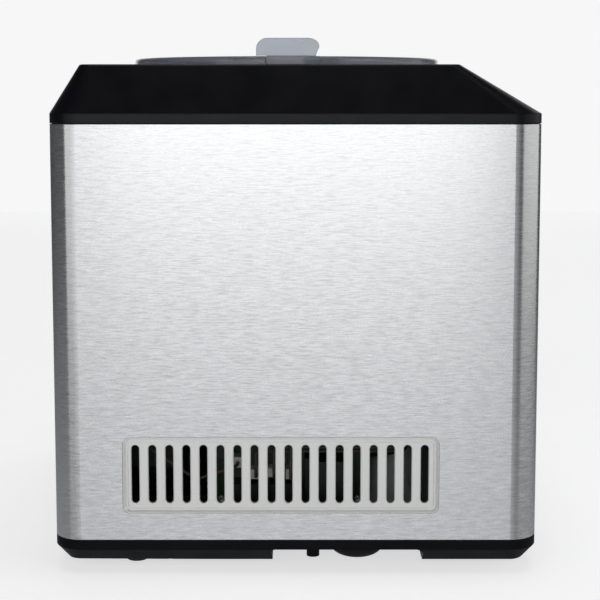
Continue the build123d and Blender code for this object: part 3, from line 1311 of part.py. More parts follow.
with BuildPart() as motor_rotor:
    with BuildSketch(Plane.XY.offset(CAN_BOTTOM - 4.8)):
        with Locations((0, MOTOR_Y)):
            Circle(MOTOR_SHAFT_RADIUS)
    extrude(amount=121.0 - CAN_BOTTOM + 4.8)
    with BuildSketch(Plane.XY.offset(55.0)):
        with Locations((0, MOTOR_Y)):
            Circle(MAGNET_INNER - 0.7)
            with PolarLocations(MAGNET_INNER - 4.0, 5):
                SlotOverall(8.0, 2.0, mode=Mode.SUBTRACT)
    extrude(amount=40.0)
    with BuildSketch(Plane.XY.offset(46.0)):
        with Locations((0, MOTOR_Y)):
            Circle(6.0)
    extrude(amount=10.0)
motor_rotor.part.label = "motor_rotor"
export_step(motor_rotor.part, "parts/motor_rotor.step")

pinion_disc = gear_disc(0, MOTOR_Y, PINION_TEETH, 0.0, 111.5, 120.6)
with BuildPart() as motor_pinion:
    add(pinion_disc)
    with BuildSketch(Plane.XY.offset(111.0)):
        with Locations((0, MOTOR_Y)):
            Circle(MOTOR_SHAFT_RADIUS + 0.02)
    extrude(amount=10.0, mode=Mode.SUBTRACT)
motor_pinion.part.label = "motor_pinion"
export_step(motor_pinion.part, "parts/motor_pinion.step")

# ------------------------------------------------------------------ compressor

FOOT_PLATE_BOTTOM = 26.0
FOOT_PLATE_TOP = 28.5
compressor_axis = Axis((COMPRESSOR_X, COMPRESSOR_Y, 0), (0, 0, 1))
compressor_plane = Plane(origin=(COMPRESSOR_X, COMPRESSOR_Y, 0), x_dir=(1, 0, 0), z_dir=(0, -1, 0))
SUCTION_Z = 104.0
DISCHARGE_Y = COMPRESSOR_Y + 8.0
DISCHARGE_Z = 101.0
STUB_REACH = 9.0

with BuildPart() as compressor:
    with BuildSketch(compressor_plane):
        with BuildLine():
            Line((0, FOOT_PLATE_BOTTOM + 1.0), (34.0, FOOT_PLATE_BOTTOM + 1.0))
            RadiusArc((34.0, FOOT_PLATE_BOTTOM + 1.0), (COMPRESSOR_RADIUS, 42.0), -18.0)
            Polyline(
                (COMPRESSOR_RADIUS, 42.0),
                (COMPRESSOR_RADIUS, 76.0),
                (COMPRESSOR_RADIUS + 2.2, 77.0),
                (COMPRESSOR_RADIUS + 2.2, 80.0),
                (COMPRESSOR_RADIUS, 81.0),
                (COMPRESSOR_RADIUS, 110.0),
            )
            Bezier((COMPRESSOR_RADIUS, 110.0), (COMPRESSOR_RADIUS, 128.0), (24.0, 130.0), (0, 131.0))
            Line((0, 131.0), (0, FOOT_PLATE_BOTTOM + 1.0))
        make_face()
    revolve(axis=compressor_axis)
    # welded foot plate
    with BuildSketch(Plane.XY.offset(FOOT_PLATE_BOTTOM)):
        with Locations((COMPRESSOR_X, COMPRESSOR_Y)):
            RectangleRounded(104.0, 94.0, 9.0)
        with Locations(*COMPRESSOR_BOLTS):
            Circle(5.3, mode=Mode.SUBTRACT)
    extrude(amount=FOOT_PLATE_TOP - FOOT_PLATE_BOTTOM)
    # terminal boss, suction stub and discharge stub
    with BuildSketch(Plane.YZ.offset(COMPRESSOR_X)):
        with Locations((COMPRESSOR_Y, 66.0)):
            Circle(9.0)
    extrude(amount=-(COMPRESSOR_RADIUS + 3.0))
    with BuildSketch(Plane.YZ.offset(COMPRESSOR_X)):
        with Locations((COMPRESSOR_Y, SUCTION_Z)):
            Circle(4.4)
    extrude(amount=-(COMPRESSOR_RADIUS + STUB_REACH))
    with BuildSketch(Plane.YZ.offset(COMPRESSOR_X)):
        with Locations((DISCHARGE_Y, DISCHARGE_Z)):
            Circle(4.0)
    extrude(amount=COMPRESSOR_RADIUS + STUB_REACH)
compressor.part.label = "compressor"
export_step(compressor.part, "parts/compressor.step")

with BuildPart() as relay_cover:
    with BuildSketch(Plane.YZ.offset(COMPRESSOR_X - COMPRESSOR_RADIUS - 3.2)):
        with Locations((COMPRESSOR_Y, 66.0)):
            RectangleRounded(30.0, 34.0, 3.0)
    extrude(amount=-15.0)
    fillet(relay_cover.faces().sort_by(Axis.X)[0].edges(), 2.0)
relay_cover.part.label = "relay_cover"
export_step(relay_cover.part, "parts/relay_cover.step")

with BuildPart() as compressor_grommets:
    for x, y in COMPRESSOR_BOLTS:
        with BuildSketch(Plane(origin=(x, y, 0), x_dir=(1, 0, 0), z_dir=(0, -1, 0))):
            with BuildLine():
                Polyline(
                    (3.3, PLATE_TOP),
                    (8.0, PLATE_TOP),
                    (8.0, FOOT_PLATE_BOTTOM - 0.1),
                    (5.1, FOOT_PLATE_BOTTOM - 0.1),
                    (5.1, FOOT_PLATE_TOP + 0.1),
                    (7.0, FOOT_PLATE_TOP + 0.1),
                    (6.2, FOOT_PLATE_TOP + 3.0),
                    (3.3, FOOT_PLATE_TOP + 3.0),
                    close=True,
                )
            make_face()
        revolve(axis=Axis((x, y, 0), (0, 0, 1)))
compressor_grommets.part.label = "compressor_grommets"
export_step(compressor_grommets.part, "parts/compressor_grommets.step")

with BuildPart() as compressor_bolts:
    with BuildSketch(Plane.XY.offset(PLATE_BOTTOM - 3.0)):
        with Locations(*COMPRESSOR_BOLTS):
            RegularPolygon(4.6, 6)
    extrude(amount=2.8)
    with BuildSketch(Plane.XY.offset(PLATE_BOTTOM - 0.3)):
        with Locations(*COMPRESSOR_BOLTS):
            Circle(3.0)
    extrude(amount=FOOT_PLATE_TOP + 6.0 - PLATE_BOTTOM)
    with BuildSketch(Plane.XY.offset(FOOT_PLATE_TOP + 3.1)):
        with Locations(*COMPRESSOR_BOLTS):
            Circle(7.0)
    extrude(amount=1.0)
compressor_bolts.part.label = "compressor_bolts"
export_step(compressor_bolts.part, "parts/compressor_bolts.step")

# ------------------------------------------------------------------ condenser and fan

CONDENSER_X = 112.0
CONDENSER_DEPTH = 22.0
CONDENSER_TUBE_RADIUS = 4.0
CONDENSER_LEVELS = [35.0, 57.0, 79.0, 101.0]
CONDENSER_END = 72.0
FIN_COUNT = 29
FIN_PITCH = 4.0
FIN_THICKNESS = 0.6

with BuildPart() as condenser_fins:
    for index in range(FIN_COUNT):
        shift = (index - (FIN_COUNT - 1) / 2) * FIN_PITCH
        with BuildSketch(Plane.XZ.offset(-FAN_Y - shift)):
            with Locations((CONDENSER_X, 67.5)):
                Rectangle(CONDENSER_DEPTH, 86.0)
            with Locations(*[(CONDENSER_X, level) for level in CONDENSER_LEVELS]):
                Circle(CONDENSER_TUBE_RADIUS + 0.1, mode=Mode.SUBTRACT)
        extrude(amount=FIN_THICKNESS)
condenser_fins.part.label = "condenser_fins"
export_step(condenser_fins.part, "parts/condenser_fins.step")

turn_reach = CONDENSER_END - 2.0
with BuildPart() as condenser_tube:
    with BuildLine() as condenser_path:
        FilletPolyline(
            (CONDENSER_X, CONDENSER_END, CONDENSER_LEVELS[3]),
            (CONDENSER_X, -turn_reach, CONDENSER_LEVELS[3]),
            (CONDENSER_X, -turn_reach, CONDENSER_LEVELS[2]),
            (CONDENSER_X, turn_reach + 6.0, CONDENSER_LEVELS[2]),
            (CONDENSER_X, turn_reach + 6.0, CONDENSER_LEVELS[1]),
            (CONDENSER_X, -turn_reach, CONDENSER_LEVELS[1]),
            (CONDENSER_X, -turn_reach, CONDENSER_LEVELS[0]),
            (CONDENSER_X, CONDENSER_END, CONDENSER_LEVELS[0]),
            radius=10.5,
        )
    with BuildSketch(Plane(origin=condenser_path.wire() @ 0, z_dir=condenser_path.wire() % 0)):
        Circle(CONDENSER_TUBE_RADIUS)
    sweep(path=condenser_path.wire())
condenser_tube.part.label = "condenser_tube"
export_step(condenser_tube.part, "parts/condenser_tube.step")

DUCT_FRONT = 84.0
SHROUD_FRONT = 94.0
SHROUD_BACK = 97.0
FAN_MOTOR_RADIUS = 14.0
FAN_SHAFT_RADIUS = 2.0

with BuildPart() as fan_shroud:
    # upright plate with the air opening, and a short duct
    with BuildSketch(Plane.YZ.offset(SHROUD_FRONT)):
        with Locations((FAN_Y, (PLATE_TOP + 112.0) / 2)):
            Rectangle(126.0, 112.0 - PLATE_TOP)
    extrude(amount=SHROUD_BACK - SHROUD_FRONT)
    with BuildSketch(Plane.YZ.offset(DUCT_FRONT - 6.0)):
        with Locations((FAN_Y, FAN_Z)):
            Circle(FAN_RADIUS + 4.0)
    extrude(amount=SHROUD_FRONT - DUCT_FRONT + 6.0)
    with BuildSketch(Plane.YZ.offset(DUCT_FRONT - 6.0)):
        with Locations((FAN_Y, FAN_Z)):
            Circle(FAN_RADIUS + 2.0)
    extrude(amount=30.0, mode=Mode.SUBTRACT)
    # four struts and the cup that holds the motor
    with BuildSketch(Plane.YZ.offset(DUCT_FRONT - 6.0)):
        with Locations((FAN_Y, FAN_Z)):
            Rectangle(2 * FAN_RADIUS + 5.0, 5.0)
            Rectangle(5.0, 2 * FAN_RADIUS + 5.0)
            Circle(FAN_MOTOR_RADIUS + 2.5)
            Circle(FAN_MOTOR_RADIUS + 0.1, mode=Mode.SUBTRACT)
    extrude(amount=3.0)
    # side flanges that hold the fins
    for end in (-1, 1):
        with BuildSketch(Plane.XY.offset(PLATE_TOP)):
            with Locations(((SHROUD_BACK + 124.0) / 2, FAN_Y + end * 61.5)):
                Rectangle(124.0 - SHROUD_BACK + 2.0, 3.0)
        extrude(amount=112.0 - PLATE_TOP)
    with BuildSketch(Plane.XZ.offset(-FAN_Y)):
        with Locations(*[(CONDENSER_X, level) for level in CONDENSER_LEVELS]):
            Circle(CONDENSER_TUBE_RADIUS + 0.3)
    extrude(amount=70.0, both=True, mode=Mode.SUBTRACT)
fan_shroud.part.label = "fan_shroud"
export_step(fan_shroud.part, "parts/fan_shroud.step")

with BuildPart() as fan_motor:
    with BuildSketch(Plane.YZ.offset(58.0)):
        with Locations((FAN_Y, FAN_Z)):
            Circle(FAN_MOTOR_RADIUS)
    extrude(amount=24.0)
    chamfer(fan_motor.faces().filter_by(Axis.X).edges(), 1.2)
    with BuildSketch(Plane.YZ.offset(82.0)):
        with Locations((FAN_Y, FAN_Z)):
            Circle(FAN_SHAFT_RADIUS)
    extrude(amount=11.0)
fan_motor.part.label = "fan_motor"
export_step(fan_motor.part, "parts/fan_motor.step")

with BuildPart() as fan_blade:
    with BuildSketch(Plane.YZ.offset(84.5)):
        with Locations((FAN_Y, FAN_Z)):
            Circle(12.0)
    extrude(amount=10.0)
    for index in range(7):
        angle = radians(360 * index / 7)
        outward = (0, cos(angle), sin(angle))
        with BuildSketch(Plane(origin=(89.5, FAN_Y, FAN_Z), x_dir=(1, 0, 0), z_dir=outward).offset(9.0)):
            Rectangle(22.0, 1.6, rotation=62)
        extrude(amount=FAN_RADIUS)
    with BuildSketch(Plane.YZ.offset(70.0)):
        with Locations((FAN_Y, FAN_Z)):
            Circle(FAN_RADIUS)
    extrude(amount=40.0, mode=Mode.INTERSECT)
    with BuildSketch(Plane.YZ.offset(84.0)):
        with Locations((FAN_Y, FAN_Z)):
            Circle(FAN_SHAFT_RADIUS + 0.06)
    extrude(amount=9.4, mode=Mode.SUBTRACT)
fan_blade.part.label = "fan_blade"
export_step(fan_blade.part, "parts/fan_blade.step")

# ------------------------------------------------------------------ refrigerant lines

DRIER_X = 62.0
DRIER_Y = 106.0
DRIER_BOTTOM = 56.0
DRIER_TOP = 94.0
LINE_RADIUS = 3.0
CAPILLARY_RADIUS = 1.2

discharge_line = tube_along(
    [
        (COMPRESSOR_X + COMPRESSOR_RADIUS + STUB_REACH, DISCHARGE_Y, DISCHARGE_Z),
        (CONDENSER_X, DISCHARGE_Y, CONDENSER_LEVELS[3]),
        (CONDENSER_X, CONDENSER_END, CONDENSER_LEVELS[3]),
    ],
    10.0,
    LINE_RADIUS,
)
liquid_line = tube_along(
    [
        (CONDENSER_X, CONDENSER_END, CONDENSER_LEVELS[0]),
        (CONDENSER_X, DRIER_Y, CONDENSER_LEVELS[0]),
        (DRIER_X, DRIER_Y, CONDENSER_LEVELS[0]),
        (DRIER_X, DRIER_Y, DRIER_BOTTOM),
    ],
    10.0,
    LINE_RADIUS,
)
capillary = tube_along(
    [
        (DRIER_X, DRIER_Y, DRIER_TOP),
        (DRIER_X, DRIER_Y, 125.0),
        (COIL_RADIUS, 60.0, 125.0),
        (COIL_RADIUS, AXIS_Y, 122.0),
        (COIL_RADIUS, AXIS_Y, TAIL_BOTTOM),
    ],
    6.0,
    CAPILLARY_RADIUS,
)
suction_line = tube_along(
    [
        (-TAIL_RADIUS, AXIS_Y, TAIL_BOTTOM),
        (-TAIL_RADIUS, AXIS_Y, 112.0),
        (-TAIL_RADIUS, COMPRESSOR_Y, SUCTION_Z),
        (COMPRESSOR_X - COMPRESSOR_RADIUS - STUB_REACH, COMPRESSOR_Y, SUCTION_Z),
    ],
    9.0,
    LINE_RADIUS + 0.4,
)
with BuildPart() as filter_drier:
    with BuildSketch(Plane(origin=(DRIER_X, DRIER_Y, 0), x_dir=(1, 0, 0), z_dir=(0, -1, 0))):
        with BuildLine():
            Polyline(
                (0, DRIER_BOTTOM),
                (4.0, DRIER_BOTTOM),
                (9.0, DRIER_BOTTOM + 7.0),
                (9.0, DRIER_TOP - 7.0),
                (3.0, DRIER_TOP),
                (0, DRIER_TOP),
                close=True,
            )
        make_face()
    revolve(axis=Axis((DRIER_X, DRIER_Y, 0), (0, 0, 1)))

with BuildPart() as refrigerant_lines:
    add([discharge_line, liquid_line, capillary, suction_line, filter_drier.part])
refrigerant_lines.part.label = "refrigerant_lines"
export_step(refrigerant_lines.part, "parts/refrigerant_lines.step")

# ------------------------------------------------------------------ power board

BOARD_X = -92.0
BOARD_FRONT = -44.0
BOARD_REAR = 52.0
BOARD_LOW = 26.0
BOARD_HIGH = 84.0
BOARD_THICKNESS = 1.6
BRACKET_X = -84.5
board_face = Plane(origin=(BOARD_X, 0, 0), x_dir=(0, -1, 0), z_dir=(-1, 0, 0))
BOARD_STANDOFFS = [
    (y, z)
    for y in (BOARD_FRONT + 6.0, BOARD_REAR - 6.0)
    for z in (BOARD_LOW + 6.0, BOARD_HIGH - 6.0)
]

with BuildPart() as power_board:
    with BuildSketch(Plane.YZ.offset(BOARD_X)):
        with Locations(((BOARD_FRONT + BOARD_REAR) / 2, (BOARD_LOW + BOARD_HIGH) / 2)):
            Rectangle(BOARD_REAR - BOARD_FRONT, BOARD_HIGH - BOARD_LOW)
        with Locations(*BOARD_STANDOFFS):
            Circle(1.6, mode=Mode.SUBTRACT)
    extrude(amount=BOARD_THICKNESS)
power_board.part.label = "power_board"
export_step(power_board.part, "parts/power_board.step")

with BuildPart() as board_bracket:
    with BuildSketch(Plane.YZ.offset(BRACKET_X)):
        with Locations(((BOARD_FRONT + BOARD_REAR) / 2, (PLATE_TOP + BOARD_HIGH) / 2)):
            Rectangle(BOARD_REAR - BOARD_FRONT, BOARD_HIGH - PLATE_TOP)
    extrude(amount=1.6)
    with BuildSketch(Plane.XY.offset(PLATE_TOP)):
        with Locations((BRACKET_X + 6.0, (BOARD_FRONT + BOARD_REAR) / 2)):
            Rectangle(12.0, BOARD_REAR - BOARD_FRONT)
    extrude(amount=1.6)
    with BuildSketch(Plane.YZ.offset(BOARD_X + BOARD_THICKNESS)):
        with Locations(*BOARD_STANDOFFS):
            Circle(3.2)
    extrude(amount=BRACKET_X - BOARD_X - BOARD_THICKNESS)
    with BuildSketch(Plane.YZ.offset(BOARD_X)):
        with Locations(*BOARD_STANDOFFS):
            Circle(1.3)
    extrude(amount=8.0, mode=Mode.SUBTRACT)
board_bracket.part.label = "board_bracket"
export_step(board_bracket.part, "parts/board_bracket.step")

with BuildPart() as board_components:
    # transformer: laminated core and winding
    with BuildSketch(board_face):
        with Locations((20.5, 48.0)):
            Rectangle(30.0, 26.0)
    extrude(amount=13.0)
    with BuildSketch(board_face.offset(13.0)):
        with Locations((20.5, 48.0)):
            RectangleRounded(20.0, 26.0, 4.0)
    extrude(amount=8.0)
    # relays
    with BuildSketch(board_face):
        with Locations((-6.0, 38.0), (-30.0, 38.0)):
            Rectangle(19.0, 15.0)
    extrude(amount=15.5)
    # reservoir capacitors
    with BuildSketch(board_face):
        with Locations((0.0, 70.0), (13.0, 72.0), (-44.0, 66.0)):
            Circle(5.0)
    extrude(amount=17.0)
board_components.part.label = "board_components"
export_step(board_components.part, "parts/board_components.step")

# plugs, each a white housing on the board: distance towards the front, height, length, height of plug
PLUGS = [(-35.3, 58.0, 7.0, 6.5), (-25.0, 50.5, 6.5, 6.0), (-13.0, 51.5, 8.0, 5.5), (-3.0, 50.5, 6.0, 6.0)]

with BuildPart() as board_plugs:
    for along, level, length, height in PLUGS:
        with BuildSketch(board_face):
            with Locations((along, level)):
                Rectangle(length, height)
        extrude(amount=11.0)
board_plugs.part.label = "board_plugs"
export_step(board_plugs.part, "parts/board_plugs.step")

WIRE_RADIUS = 1.0
wire_start_x = BOARD_X - 11.0
wires = [
    tube_along(
        [(wire_start_x, 35.3, 58.0), (-112.0, 35.3, 58.0), (-112.0, 60.0, 50.0), (-112.0, 86.0, 68.0),
         (-92.0, 104.0, 90.0)],
        5.0,
        WIRE_RADIUS,
    ),
    tube_along(
        [(wire_start_x, 24.0, 50.5), (-110.0, 24.0, 50.5), (-110.0, 24.0, 67.0), (-110.0, -60.0, 67.0),
         (-104.0, -84.0, 80.0)],
        3.0,
        WIRE_RADIUS,
    ),
    tube_along(
        [(wire_start_x, 13.0, 51.5), (-113.0, 13.0, 51.5), (-113.0, 13.0, 70.0), (-113.0, -64.0, 70.0),
         (-104.0, -90.0, 84.0)],
        3.0,
        WIRE_RADIUS,
    ),
    tube_along(
        [(wire_start_x, 3.0, 50.5), (-116.0, 3.0, 50.5), (-116.0, 3.0, 73.0), (-116.0, -66.0, 73.0),
         (-104.0, -96.0, 88.0)],
        3.0,
        WIRE_RADIUS,
    ),
]
with BuildPart() as wiring:
    add(wires)
wiring.part.label = "wiring"
export_step(wiring.part, "parts/wiring.step")

# ------------------------------------------------------------------ power inlet

INLET_FLANGE_FACE = HALF_DEPTH - SHELL_WALL
INLET_FLANGE = 3.0
INLET_SCREW_SINK = 0.9
SOCKET_FLOOR = 126.0
SOCKET_PINS = [(0.0, 2.0), (-7.0, -2.0), (7.0, -2.0)]

with BuildPart() as power_inlet:
    with BuildSketch(Plane.XZ.offset(-HALF_DEPTH + 0.3)):
        with Locations((INLET_X, INLET_Z)):
            RectangleRounded(INLET_WIDTH - 0.3, INLET_HEIGHT - 0.3, 1.8)
    extrude(amount=25.0)
    with BuildSketch(Plane.XZ.offset(-INLET_FLANGE_FACE)):
        with Locations((INLET_X, INLET_Z)):
            RectangleRounded(52.0, 26.0, 3.0)
            with GridLocations(INLET_SCREW_SPAN, 1.0, 2, 1):
                Circle(1.3, mode=Mode.SUBTRACT)
    extrude(amount=INLET_FLANGE)
    # recesses for the screw heads
    with BuildSketch(Plane.XZ.offset(-INLET_FLANGE_FACE)):
        with Locations((INLET_X, INLET_Z)):
            with GridLocations(INLET_SCREW_SPAN, 1.0, 2, 1):
                Circle(INLET_SCREW_RECESS)
    extrude(amount=INLET_SCREW_SINK, mode=Mode.SUBTRACT)
    # socket with two cut lower corners
    with BuildSketch(Plane.XZ.offset(-HALF_DEPTH)) as socket_mouth:
        with Locations((INLET_X, INLET_Z)):
            Rectangle(24.2, 16.6)
        chamfer(vertices().group_by(Axis.Z)[-1], 4.0)
    extrude(amount=HALF_DEPTH - SOCKET_FLOOR, mode=Mode.SUBTRACT)
    # three flat pins
    with BuildSketch(Plane.XZ.offset(-SOCKET_FLOOR)):
        with Locations(*[(INLET_X + dx, INLET_Z + dz) for dx, dz in SOCKET_PINS]):
            Rectangle(2.0, 4.0)
    extrude(amount=-12.0)
power_inlet.part.label = "power_inlet"
export_step(power_inlet.part, "parts/power_inlet.step")

# ------------------------------------------------------------------ screws


def upward(x, y, level):
    """Seat of a screw that is driven from below."""
    return Plane(origin=(x, y, level), x_dir=(1, 0, 0), z_dir=(0, 0, 1))


case_seats = []
for side in (-1, 1):
    case_seats.append((upward(side * FOOT_X, FOOT_Y, 6.0), 9.5))
    case_seats.append((upward(side * REAR_FOOT_X, REAR_FOOT_Y, 2.6), 9.5))
    case_seats.append((upward(side * FRONT_FOOT_X, FRONT_FOOT_Y, 2.6), 9.5))
    for y in (POST_FRONT_Y, POST_REAR_Y):
        case_seats.append((upward(side * POST_X, y, PLATE_BOTTOM), 6.0))
        case_seats.append((upward(side * POST_X, y, SHELL_TOP - POST_WALL), 9.0))
for x, y in WELL_SCREWS:
    case_seats.append((upward(x, y, FLANGE_TOP - 1.4), 9.0))
case_screw_solids = [screw(seat, length, head_radius=3.2) for seat, length in case_seats]
for side in (-1, 1):
    case_screw_solids.append(
        screw(upward(side * SCREW_POCKET_X, SCREW_POCKET_Y, SCREW_POCKET_ROOF), 8.0, head_radius=3.1)
    )

with BuildPart() as case_screws:
    add(case_screw_solids)
case_screws.part.label = "case_screws"
export_step(case_screws.part, "parts/case_screws.step")

gearbox_screw_solids = [
    screw(upward(x, y, GEARBOX_BOTTOM), 33.5, radius=1.7, head_radius=3.2) for x, y in GEARBOX_LUGS
]
with BuildPart() as gearbox_screws:
    add(gearbox_screw_solids)
gearbox_screws.part.label = "gearbox_screws"
export_step(gearbox_screws.part, "parts/gearbox_screws.step")

small_screw_solids = []
for x, y in BOARD_SCREWS:
    board_back = slope_plane(BOARD_DEPTH + 1.6)
    seat = Plane(
        origin=board_back.from_local_coords(Vector(x, y, 0)), x_dir=(1, 0, 0), z_dir=board_back.z_dir
    )
    small_screw_solids.append(screw(seat, 6.0, radius=1.2, head_radius=2.3, head_height=1.6))
for y, z in BOARD_STANDOFFS:
    seat = Plane(origin=(BOARD_X, y, z), x_dir=(0, 1, 0), z_dir=(1, 0, 0))
    small_screw_solids.append(screw(seat, 6.0, radius=1.25, head_radius=2.3, head_height=1.6))
for side in (-1, 1):
    seat = Plane(
        origin=(INLET_X + side * INLET_SCREW_SPAN / 2, INLET_FLANGE_FACE - INLET_SCREW_SINK, INLET_Z),
        x_dir=(1, 0, 0),
        z_dir=(0, -1, 0),
    )
    small_screw_solids.append(screw(seat, 5.0, radius=1.25, head_radius=2.3, head_height=1.6))
with BuildPart() as small_screws:
    add(small_screw_solids)
small_screws.part.label = "small_screws"
export_step(small_screws.part, "parts/small_screws.step")
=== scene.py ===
import math

import bpy
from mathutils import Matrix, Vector

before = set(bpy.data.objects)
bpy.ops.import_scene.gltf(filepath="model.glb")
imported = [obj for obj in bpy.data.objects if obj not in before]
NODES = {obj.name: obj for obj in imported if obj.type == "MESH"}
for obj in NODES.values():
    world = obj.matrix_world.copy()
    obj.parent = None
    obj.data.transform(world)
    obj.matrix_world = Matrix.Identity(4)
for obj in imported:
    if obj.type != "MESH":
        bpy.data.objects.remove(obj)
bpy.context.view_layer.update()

# ------------------------------------------------------------------ node helpers

# the noise patterns lie mostly between these two values
NOISE_LOW = 0.3
NOISE_HIGH = 0.7
BUMP_DISTANCE = 0.001
BEVEL_SAMPLES = 6


class Graph:
    """A small helper that adds shader nodes and links them."""

    def __init__(self, name):
        self.material = bpy.data.materials.new(name)
        self.material.use_nodes = True
        self.tree = self.material.node_tree
        self.tree.nodes.clear()
        self.shader = self.add("ShaderNodeBsdfPrincipled")
        output = self.add("ShaderNodeOutputMaterial")
        self.link(self.shader.outputs["BSDF"], output.inputs["Surface"])
        self.place = self.add("ShaderNodeTexCoord").outputs["Object"]

    def add(self, kind, **values):
        node = self.tree.nodes.new(kind)
        for key, value in values.items():
            setattr(node, key, value)
        return node

    def link(self, source, target):
        self.tree.links.new(source, target)

    def set(self, socket, value):
        self.shader.inputs[socket].default_value = value

    def stretched(self, scale):
        """The object's coordinates, scaled unevenly."""
        mapping = self.add("ShaderNodeMapping")
        mapping.inputs["Scale"].default_value = scale
        self.link(self.place, mapping.inputs["Vector"])
        return mapping.outputs["Vector"]

    def noise(self, scale, detail=4.0, rough=0.5, vector=None):
        node = self.add("ShaderNodeTexNoise")
        node.inputs["Scale"].default_value = scale
        node.inputs["Detail"].default_value = detail
        node.inputs["Roughness"].default_value = rough
        self.link(vector or self.place, node.inputs["Vector"])
        return node.outputs["Fac"]

    def ramp(self, value, dark, light):
        """A colour between dark and light, by a noise value."""
        node = self.add("ShaderNodeValToRGB")
        stops = ((NOISE_LOW, dark), (NOISE_HIGH, light))
        for element, (position, colour) in zip(node.color_ramp.elements, stops):
            element.position = position
            element.color = (*colour, 1.0)
        self.link(value, node.inputs["Fac"])
        return node.outputs["Color"]

    def spread(self, value, low, high):
        """A noise value, mapped to a range."""
        node = self.add("ShaderNodeMapRange")
        node.inputs["From Min"].default_value = NOISE_LOW
        node.inputs["From Max"].default_value = NOISE_HIGH
        node.inputs["To Min"].default_value = low
        node.inputs["To Max"].default_value = high
        self.link(value, node.inputs["Value"])
        return node.outputs["Result"]

    def bump(self, height, strength, after=None):
        """A bump, added to the normal in after."""
        node = self.add("ShaderNodeBump")
        node.inputs["Strength"].default_value = strength
        node.inputs["Distance"].default_value = BUMP_DISTANCE
        self.link(height, node.inputs["Height"])
        if after is not None:
            self.link(after, node.inputs["Normal"])
        return node.outputs["Normal"]

    def rounded_edges(self, radius):
        """Soft highlights along the sharp edges of a CAD node."""
        node = self.add("ShaderNodeBevel")
        node.samples = BEVEL_SAMPLES
        node.inputs["Radius"].default_value = radius
        return node.outputs["Normal"]

    def use(self, socket, output):
        self.link(output, self.shader.inputs[socket])


def shade(colour, factor):
    return tuple(min(1.0, value * factor) for value in colour)


# ------------------------------------------------------------------ materials


def moulded(
    name,
    colour,
    rough,
    grain=0.0,
    grain_size=1400.0,
    coat=0.0,
    edge=0.0008,
    spread=0.10,
    gloss=0.5,
):
    """Moulded plastic: a fine texture, slight unevenness of gloss and soft edges."""
    g = Graph(name)
    g.set("Specular IOR Level", gloss)
    tone = g.noise(22.0, 3.0)
    g.use("Base Color", g.ramp(tone, shade(colour, 1 - spread), shade(colour, 1 + spread)))
    g.use("Roughness", g.spread(g.noise(60.0, 5.0), rough * 0.88, min(1.0, rough * 1.14)))
    normal = g.rounded_edges(edge) if edge else None
    if grain:
        normal = g.bump(g.noise(grain_size, 2.0), grain, normal)
    if normal is not None:
        g.use("Normal", normal)
    if coat:
        g.set("Coat Weight", coat)
        g.set("Coat Roughness", 0.12)
    return g


def sheet_metal(
    name,
    colour,
    rough,
    brush=None,
    depth=0.05,
    edge=0.0004,
    metallic=1.0,
    streak=0.03,
    grain_turn=None,
):
    """Metal with brushing along one direction, or an even satin finish.

    brush is the noise's scale along X, Y and Z. grain_turn is the turn of the
    brushing's sharper reflection about the Z axis, and None leaves it even.
    """
    g = Graph(name)
    g.set("Metallic", metallic)
    lines = g.noise(1.0, 6.0, 0.65, g.stretched(brush)) if brush else g.noise(900.0, 3.0)
    g.use("Base Color", g.ramp(lines, shade(colour, 1 - streak), shade(colour, 1 + streak)))
    g.use("Roughness", g.spread(lines, rough * 0.82, min(1.0, rough * 1.2)))
    g.use("Normal", g.bump(lines, depth, g.rounded_edges(edge)))
    if grain_turn is not None:
        tangent = g.add("ShaderNodeTangent", direction_type="RADIAL", axis="Z")
        g.use("Tangent", tangent.outputs["Tangent"])
        g.set("Anisotropic", 0.85)
        g.set("Anisotropic Rotation", grain_turn)
    return g


def clear_plastic(name, tint, rough=0.05, clarity=1.0, edge=0.0006):
    """Tinted clear plastic with faint surface wear; less clarity gives it a smoky body."""
    g = Graph(name)
    g.set("Transmission Weight", clarity)
    g.set("IOR", 1.46)
    haze = g.noise(35.0, 4.0)
    g.use("Base Color", g.ramp(haze, shade(tint, 0.97), tint))
    g.use("Roughness", g.spread(g.noise(180.0, 4.0), rough * 0.6, rough * 1.6))
    g.use("Normal", g.rounded_edges(edge))
    return g


black_cover = moulded(
    "black_cover", (0.0022, 0.0023, 0.0042), 0.34, grain=0.04, edge=0.0012, gloss=0.21
)
black_base = moulded(
    "black_base", (0.0028, 0.0030, 0.0040), 0.50, grain=0.10, edge=0.0010, gloss=0.10
)
rubber = moulded("rubber", (0.006, 0.006, 0.0065), 0.72, grain=0.22, edge=0.0004, gloss=0.2)
steel = sheet_metal(
    "brushed_steel",
    (0.71, 0.71, 0.708),
    0.25,
    brush=(130.0, 130.0, 1300.0),
    depth=0.04,
    streak=0.17,
    grain_turn=0.25,
)
grille_metal = sheet_metal(
    "satin_silver", (0.80, 0.80, 0.78), 0.40, depth=0.02, edge=0.0005, metallic=0.6
)
fascia = moulded("fascia", (0.030, 0.031, 0.037), 0.20, coat=0.4)
button = moulded("button", (0.42, 0.43, 0.44), 0.30, grain=0.03)
window = clear_plastic("window", (0.30, 0.36, 0.40))
lid_plastic = clear_plastic("lid_plastic", (0.66, 0.66, 0.74), 0.12, clarity=0.76)
flap_plastic = clear_plastic("flap_plastic", (0.46, 0.495, 0.54), 0.12, clarity=0.66)
bowl_metal = sheet_metal("bowl_metal", (0.86, 0.86, 0.86), 0.34, depth=0.02)
well_metal = sheet_metal("well_metal", (0.80, 0.81, 0.81), 0.40, depth=0.02)
paddle_plastic = moulded("paddle_plastic", (0.74, 0.76, 0.79), 0.42, grain=0.05)
copper = sheet_metal("copper", (0.86, 0.46, 0.30), 0.30, depth=0.02)
foam = moulded("foam", (0.72, 0.62, 0.38), 0.95, grain=0.5, grain_size=500.0, edge=0.0)
